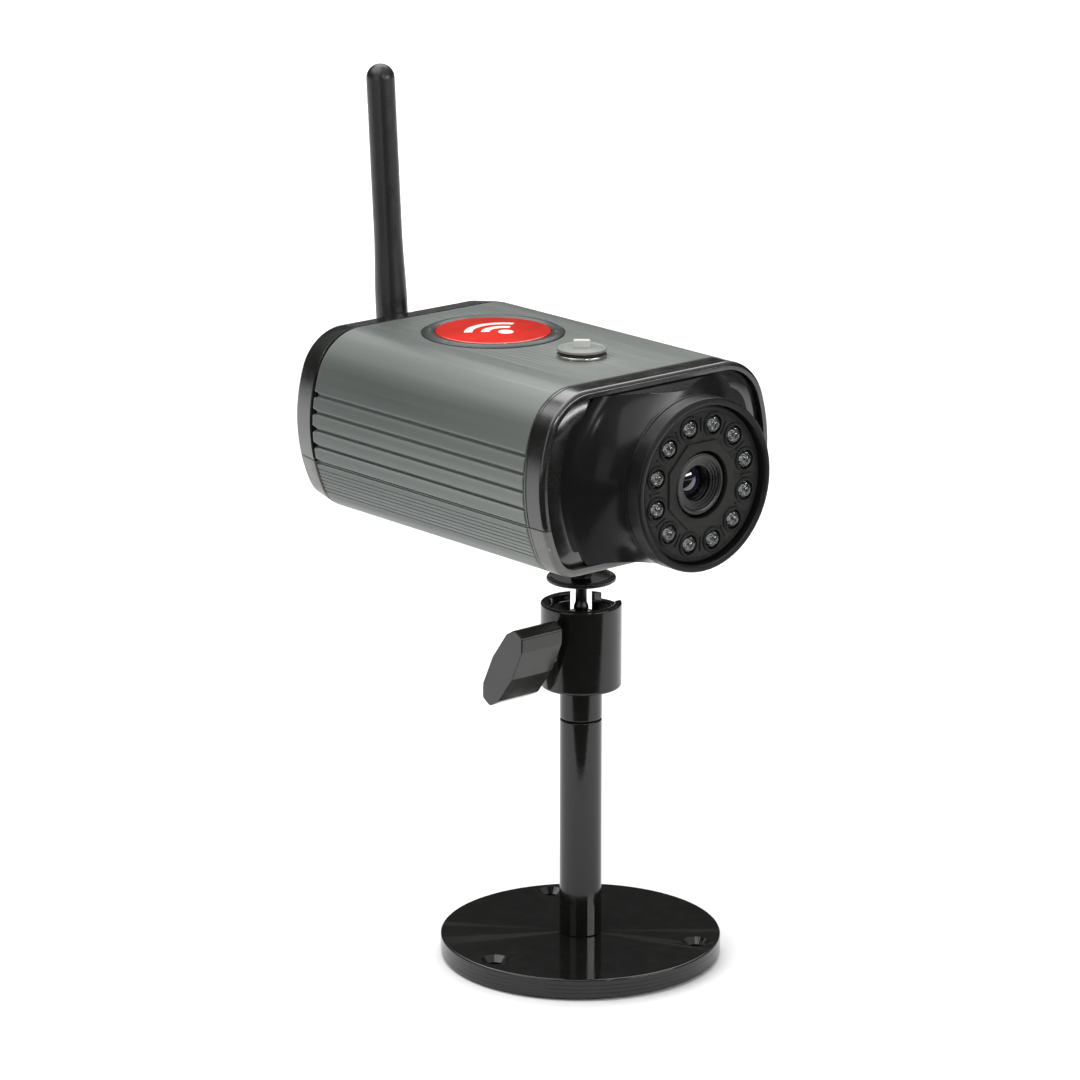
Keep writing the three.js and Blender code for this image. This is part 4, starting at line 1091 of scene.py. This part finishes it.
def make_sockets():
    x, rear = NETWORK.mid[0], NETWORK.high[1]
    low = NETWORK.low[2] + 2
    shell_ = block("network_socket_shell", (NETWORK.low[0], NETWORK.low[1], NETWORK.low[2]),
                   (NETWORK.high[0], rear, NETWORK.high[2]))
    port = block("port", (x - 6, rear - 14, low), (x + 6, rear + 1, low + 8.5))
    latch = block("latch", (x - 3, rear - 8, low + 8.4), (x + 3, rear + 1, low + 10.3))
    cut(shell_, port, latch)
    soften(shell_, 0.22, 2, 40)
    dress(shell_, "nickel", "camera", "network_socket", angle=34)

    springs = []
    rise = ((rear - 13.9, low + 0.3), (rear - 11, low + 0.9), (rear - 6, low + 2.6), (rear - 4.6, low + 2.2))
    for i in range(8):
        cx = x - 3.57 + 1.02 * i
        springs.append(loft("spring", [
            [(cx - 0.2, y, z), (cx + 0.2, y, z), (cx + 0.2, y, z + 0.25), (cx - 0.2, y, z + 0.25)]
            for y, z in rise
        ]))
    dress(gather("network_socket_contacts", springs), "brass", "camera")

    x, rear = POWER.mid[0], POWER.high[1]
    at = (x, POWER.low[2] + POWER.half[2] + 0.6)
    obj = block("power_socket_body", tuple(POWER.low), tuple(POWER.high))
    port = [
        (0, rear - 10), (3.2, rear - 10), (3.2, rear - 0.5), (3.7, rear + 0.01), (3.7, rear + 1), (0, rear + 1),
    ]
    cut(obj, lathe("port", port, "y", at, 64))
    soften(obj, 0.2, 2, 40)
    pin = [(0, rear - 10.1), (1, rear - 10.1), (1, rear - 1.5, 0.5), (0, rear - 1.5)]
    join(obj, lathe("pin", rounded(pin), "y", at, 32))
    dress(obj, "chip_black", "camera", "power_socket", angle=34)

    radius = RESET.half[0]
    obj = lathe("reset_button_dished", rounded([
        (0, RESET.low[1]), (radius, RESET.low[1], 0.2), (radius, RESET.high[1], 0.35),
        (0.9, RESET.high[1], 0.2),
        (0, RESET.high[1] - 0.2),
    ]), "y", (RESET.mid[0], RESET.mid[2]), 48)
    dress(obj, "button_grey", "reset_button", "reset_button")

    for side, screw in zip(("left", "right"), SCREWS):
        at = (screw.mid[0], screw.mid[2])
        back, face = screw.low[1], screw.high[1]
        head, shank = screw.half[0], 1.4
        seat = PANEL.high[1] + 0.1
        obj = lathe(f"panel_screw_{side}_pan", rounded([
            (0, back), (shank, back, 0.5), (shank, seat), (head, seat, 0.15), (head, seat + 0.8, 0.5),
            (head - 0.8, face, 0.5), (0, face),
        ], 5), "y", at, 64)
        slots = []
        for width, height in ((1.5, 0.35), (0.35, 1.5)):
            slots.append(block("slot", (at[0] - width, PANEL.high[1] + 0.9, at[1] - height),
                               (at[0] + width, face + 1, at[1] + height)))
        cut(obj, join(*slots))
        soften(obj, 0.06, 2, 50)
        dress(obj, "steel", "camera", f"panel_screw_{side}", angle=34)


# ---------- antenna ----------

ROD_LEAN = math.radians(3.6)


def make_antenna():
    y, z = PIVOT.mid[1], PIVOT.mid[2]
    elbow = Extent("antenna_elbow")
    back, nut_radius = elbow.low[1], 5.0
    nut_front = 77.6
    tongue, cheek, cheek_radius = 4.8, 2.3, 4.6
    ribs = 20

    def grip(r, height, angle):
        inside = back + 0.8 < height < nut_front - 1.6
        return r - ripple(ribs, 0.22, angle) if r > nut_radius - 0.1 and inside else r

    nut_profile = [(0, back), (nut_radius, back, 0.5)]
    nut_profile += [(nut_radius, height) for height in spread(back + 0.9, nut_front - 1.7, 5)]
    nut_profile += [(nut_radius, nut_front, 0.5), (0, nut_front)]
    nut = lathe("antenna_elbow_moulded", rounded(nut_profile), "y", (0, z), 120, grip)
    half = tongue / 2 + GAP
    profile = [(nut_front - 0.6, z + cheek_radius * 0.86), (nut_front + 1, z + cheek_radius * 0.98)]
    profile += arc_points((y, z), cheek_radius, math.pi / 2, -math.pi / 2, 32)
    profile += [(nut_front + 1, z - cheek_radius * 0.98), (nut_front - 0.6, z - cheek_radius * 0.86)]
    cheeks = []
    for x in (half, -half - cheek):
        piece = prism_x("cheek", profile, x, x + cheek)
        cheeks.append(soften(piece, 0.45, 3, 60))
    cut(nut, peg("socket", 3.1 + GAP, back - 1, JACK.high[1] + GAP, "y", (0, z)))
    join(nut, *cheeks)
    cut(nut, peg("pin_hole", PIVOT.half[2] + 0.1, -10, 10, "x", (y, z), 48))
    dress(nut, "antenna_black", "antenna_elbow", "antenna_elbow", angle=34)

    reach, radius = PIVOT.half[0], PIVOT.half[2]
    obj = lathe("antenna_pin_turned", rounded([
        (0, -reach), (radius, -reach, 0.3), (radius, reach, 0.3), (0, reach),
    ]), "x", (y, z), 48)
    dress(obj, "steel", "antenna_elbow", "antenna_pin")

    length, rod_radius, foot, shoulder = 89.58, 4.1, 4.65, 5.2
    profile = [(0, shoulder), (3.6, shoulder, 0.4), (foot, shoulder + 2.2, 0.9), (foot, 24, 6)]
    profile += [(rod_radius, 36, 6)]
    profile += [(rod_radius, length - 30), (rod_radius, length - 12), (rod_radius, length - 4.3)]
    tip = [(rod_radius * math.cos(a), length - 4.2 + 4.2 * math.sin(a)) for a in spread(0, math.pi / 2, 14)]
    obj = lathe("antenna_rod_sleeve", rounded(profile) + tip[:-1] + [(0, length)], segments=96)
    ring = [(-3.0, shoulder + 1.5)] + arc_points((0, 0), 4.2, math.pi, 2 * math.pi, 32)
    ring += [(3.0, shoulder + 1.5)]
    blade = soften(prism_x("tongue", ring, -tongue / 2, tongue / 2), 0.4, 3, 60)
    join(obj, blade)
    cut(obj, peg("pin_hole", radius + GAP, -10, 10, "x", (0, 0), 48))
    place = Matrix.Translation((0, y * MM, z * MM)) @ Matrix.Rotation(-ROD_LEAN, 4, "X")
    obj.data.transform(place)
    dress(obj, "antenna_black", "antenna_rod", "antenna_rod", angle=34)


# ---------- badge and mounts ----------


def make_badge():
    disc = Extent("badge_disc")
    at = (0, BADGE.mid[1])
    outer, seat, top = BADGE.half[0], BADGE.low[2], BADGE.high[2]
    inner = disc.half[0] + GAP
    obj = lathe("badge_ring_moulded", rounded([
        (inner, seat), (outer, seat), (outer, BODY_TOP + 0.1, 0.1), (outer - 0.25, BODY_TOP + 0.3, 0.2),
        (outer - 1.3, top, 0.5), (inner + 0.9, top, 0.4), (inner, top - 0.45, 0.2),
    ], 5), at=at, segments=192)
    dress(obj, "badge_rim", "camera", "badge_ring")

    radius, crown = disc.half[0], disc.high[2]
    edge = crown - 0.6

    def dome(r):
        return edge + (crown - edge) * (1 - (r / radius) ** 2)

    profile = [
        (0, disc.low[2]), (radius, disc.low[2]), (radius, edge - 0.25), (radius - 0.06, edge - 0.08),
        (radius - 0.2, edge),
    ]
    profile += [(r, dome(r)) for r in spread(radius - 0.5, 0.8, 24)] + [(0, crown)]
    obj = lathe("badge_disc_enamel", profile, at=at, segments=192)
    dress(obj, "badge_red", "camera", "badge_disc")

    make_badge_mark(dome, at, crown - 0.9)


def make_badge_mark(dome, at, low):
    """A plain signal sign of a dot under two arcs, set into the enamel."""
    foot, lift = -5.6, 0.02
    start, end = math.radians(38), math.radians(142)

    def top_of(x, y):
        return dome(math.hypot(x, y)) + lift

    pieces = []
    for inner, outer in ((4.6, 7.0), (9.4, 11.8)):
        rings = []
        for turn in spread(start, end, 32):
            spots = [(r * math.cos(turn), foot + r * math.sin(turn)) for r in spread(inner, outer, 4)]
            ring = [(at[0] + x, at[1] + y, top_of(x, y)) for x, y in spots]
            rings.append(ring + [(at[0] + x, at[1] + y, low) for x, y in spots[::-1]])
        pieces.append(loft("arc", rings))
    dot = lathe("dot", [(0, low), (2.2, low)] + [(r, low + 1) for r in (2.2, 1.5, 0.8)] + [(0, low + 1)],
                at=(at[0], at[1] + foot), segments=64)
    for vertex in dot.data.vertices:
        x, y, z = (c / MM for c in vertex.co)
        if z > low + 0.5:
            vertex.co.z = top_of(x - at[0], y - at[1]) * MM
    mark = gather("badge_mark_inlay", pieces + [dot])
    shade(mark)
    mark.data.materials.clear()
    mark.data.materials.append(WHITE.material)
    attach(mark, "camera")


WHITE = gloss_plastic("white_enamel", srgb(240, 236, 228), 0.12, 0.2, 0.5)
# The grip tab is the plug's own grey made lighter, a painted highlight for the tab face that catches the light.
PLUG_TAB_PAINTED_HIGHLIGHT = satin_plastic("grip_grey_painted_highlight", srgb(196, 198, 192), 0.28, 0.42)
PANEL_FACE = gloss_plastic("panel_face", srgb(23, 23, 23), 0.16, 0.26, 0.12)


def make_mounts():
    for node, side in (("top_mount", 1), ("lower_mount", -1)):
        part = Extent(node)
        face, deep = (part.high[2], part.low[2]) if side > 0 else (part.low[2], part.high[2])
        thread = []
        place = face - side * 0.8
        while abs(place - deep) > 2.4:
            thread += [(3.2, place), (2.95, place - side * 0.35)]
            place -= side * 0.7
        obj = lathe(f"{node}_bush", rounded([
            (0, deep), (5, deep, 0.3), (5, face - side * 0.7, 0.1), (part.half[0], face - side * 0.7, 0.1),
            (part.half[0], face, 0.25), (3.6, face, 0.1),
        ] + thread + [(3.1, deep + side * 1.5), (0, deep + side * 1.5)], 3), segments=96)
        dress(obj, "nickel", "camera", node, angle=40)

    washer = Extent("plug_washer")
    obj = lathe("plug_washer_rubber", rounded([
        (3.55, washer.low[2], 0.1), (washer.half[0], washer.low[2], 0.25),
        (washer.half[0], washer.high[2], 0.25),
        (3.55, washer.high[2], 0.1),
    ], 4, closed=True), segments=96)
    dress(obj, "rubber_pad", "camera", "plug_washer")

    plug = Extent("top_plug")
    low = washer.high[2] + 0.1
    top = low + 0.8
    radius = 6.9
    obj = lathe("top_plug_cap", rounded([
        (0, plug.low[2]), (2.9, plug.low[2], 0.3), (2.9, low), (radius, low, 0.15), (radius, top, 0.35),
        (radius - 1.1, top), (radius - 1.25, top - 0.1), (radius - 1.4, top), (0, top + 0.04),
    ], 4), segments=96)
    dress(obj, "plug_grey", "top_plug", "top_plug")
    tab = block("plug_grip", (-2.35, -0.9, top - 0.3), (2.35, 0.9, plug.high[2]), math.radians(-41))
    soften(tab, 0.4, 4, 30)
    dress(tab, "plug_grey", "top_plug")
    # Painted highlight: the tab gets a lighter copy of the plug's grey.
    tab.data.materials[0] = PLUG_TAB_PAINTED_HIGHLIGHT.material


def dress_kept_nodes():
    """The inner boards, holders and leads stay as the frame has them."""
    slots = {
        "lamp_board": "circuit_board", "lens_holder": "lens_black", "sensor_board": "circuit_board",
        "image_sensor": "sensor_glass", "main_board": "circuit_board", "processor": "chip_black",
        "radio_module": "nickel", "sensor_cable": "cable_white", "antenna_lead": "cable_black",
        "antenna_socket": "brass",
    }
    for node, slot in slots.items():
        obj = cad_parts[node]
        obj.data.materials.clear()
        obj.data.materials.append(MATERIALS[slot].material)


# ---------- floor, light and camera ----------


def make_floor():
    reach = 9.0
    steps = 24
    points = [(-reach + 2 * reach * i / steps, -reach + 2 * reach * j / steps, 0.0)
              for i in range(steps + 1) for j in range(steps + 1)]
    row = steps + 1
    faces = [[i * row + j, (i + 1) * row + j, (i + 1) * row + j + 1, i * row + j + 1]
             for i in range(steps) for j in range(steps)]
    mesh = bpy.data.meshes.new("studio_floor")
    mesh.from_pydata(points, [], faces)
    floor = bpy.data.objects.new("studio_floor", mesh)
    bpy.context.scene.collection.objects.link(floor)
    paper = Finish("floor_paper", srgb(244, 244, 244), 0.7, 0.0, 0.2)
    paper.mottled(even(3), 0.01).grain(even(500), 0.05)
    mesh.materials.append(paper.material)


def make_flag():
    """A black card on the floor in front of the object, which only the glossy surfaces see."""
    toward = Vector((math.sin(CAMERA_TURN), -math.cos(CAMERA_TURN), 0))
    aside = Vector((-toward.y, toward.x, 0))
    near, far, half, lift = 0.161, 1.7, 1.3, Vector((0, 0, 0.003))
    spots = ((near, -half), (near, half), (far, half), (far, -half))
    corners = [toward * d + aside * w + lift for d, w in spots]
    mesh = bpy.data.meshes.new("studio_flag")
    mesh.from_pydata(corners, [], [(0, 1, 2, 3)])
    flag = bpy.data.objects.new("studio_flag", mesh)
    bpy.context.scene.collection.objects.link(flag)
    card = Finish("flag_card", srgb(14, 14, 14), 0.9, 0.0, 0.1)
    card.mottled(even(5), 0.1)
    mesh.materials.append(card.material)
    flag.visible_camera = False
    flag.visible_diffuse = False
    flag.visible_shadow = False


def make_light(name, place, aim, size, power):
    data = bpy.data.lights.new(name, "AREA")
    data.shape = "RECTANGLE"
    data.size, data.size_y = size
    data.energy = power
    obj = bpy.data.objects.new(name, data)
    obj.location = place
    obj.rotation_euler = (Vector(aim) - Vector(place)).to_track_quat("-Z", "Y").to_euler()
    bpy.context.scene.collection.objects.link(obj)


def make_world():
    """Dim near the horizon and bright overhead, as under a large diffuser, with a pale backdrop."""
    world = bpy.data.worlds.new("studio")
    world.use_nodes = True
    nodes, links = world.node_tree.nodes, world.node_tree.links
    coordinates = nodes.new("ShaderNodeTexCoord")
    split = nodes.new("ShaderNodeSeparateXYZ")
    ramp = nodes.new("ShaderNodeValToRGB")
    background = nodes["Background"]
    links.new(coordinates.outputs["Generated"], split.inputs["Vector"])
    links.new(split.outputs["Z"], ramp.inputs["Fac"])
    links.new(ramp.outputs["Color"], background.inputs["Color"])
    ramp.color_ramp.elements[0].position = 0.35
    ramp.color_ramp.elements[0].color = (0.05, 0.05, 0.05, 1)
    ramp.color_ramp.elements[1].position = 0.75
    ramp.color_ramp.elements[1].color = (1.0, 1.0, 1.0, 1)
    background.inputs["Strength"].default_value = 0.9
    backdrop = nodes.new("ShaderNodeBackground")
    backdrop.inputs["Color"].default_value = (1.0, 1.0, 1.0, 1)
    backdrop.inputs["Strength"].default_value = 0.85
    blend = nodes.new("ShaderNodeMixShader")
    links.new(nodes.new("ShaderNodeLightPath").outputs["Is Camera Ray"], blend.inputs["Fac"])
    links.new(background.outputs["Background"], blend.inputs[1])
    links.new(backdrop.outputs["Background"], blend.inputs[2])
    links.new(blend.outputs["Shader"], nodes["World Output"].inputs["Surface"])
    bpy.context.scene.world = world


CAMERA_TURN = math.radians(-40.77)
CAMERA_RISE = math.radians(15.642)
CAMERA_DISTANCE = 1.32932
AIM_HEIGHT = 0.12238
AIM_ASIDE = -0.011557
LENS = 158.41


def make_camera():
    back = Vector((
        math.sin(CAMERA_TURN) * math.cos(CAMERA_RISE),
        -math.cos(CAMERA_TURN) * math.cos(CAMERA_RISE),
        math.sin(CAMERA_RISE),
    ))
    right = Vector((math.cos(CAMERA_TURN), math.sin(CAMERA_TURN), 0))
    up = back.cross(right)
    data = bpy.data.cameras.new("camera")
    data.lens = LENS
    data.sensor_width = 36
    data.clip_start = 0.05
    data.clip_end = 60
    obj = bpy.data.objects.new("camera", data)
    aim = Vector((0, 0, AIM_HEIGHT)) + right * AIM_ASIDE
    turn = Matrix((right, up, back)).transposed().to_4x4()
    obj.matrix_world = Matrix.Translation(aim + back * CAMERA_DISTANCE) @ turn
    bpy.context.scene.collection.objects.link(obj)
    bpy.context.scene.camera = obj


def main():
    make_camera()
    make_floor()
    make_flag()
    make_world()
    make_light("ceiling_softbox", (-0.5, 0.45, 1.7), (0, 0, 0.1), (1.8, 1.8), 26)
    make_light("background_softbox", (1.1, 1.3, 1.7), (1.0, 1.2, 0), (1.8, 1.8), 30)
    make_light("front_strip", (0.42, -1.2, 0.5), (0, 0, 0.15), (1.0, 0.17), 6)
    make_light("left_softbox", (-1.5, -0.2, 0.5), (0, 0, 0.14), (0.9, 0.9), 3)
    make_light("glint_lamp", (-0.35, -1.2, 0.75), (0, 0, 0.15), (0.12, 0.12), 1.8)
    make_pad()
    make_base()
    make_post()
    make_cup()
    make_screw_and_knob()
    make_ball_stud()
    make_housing()
    make_front_bezel()
    make_rear_bezel()
    make_front_panel()
    make_barrel_ring()
    make_lamp_plate()
    make_lamps()
    make_lens()
    make_rear_panel()
    make_sockets()
    make_antenna()
    make_badge()
    make_mounts()
    dress_kept_nodes()
    bpy.context.scene.view_settings.view_transform = "Standard"


main()
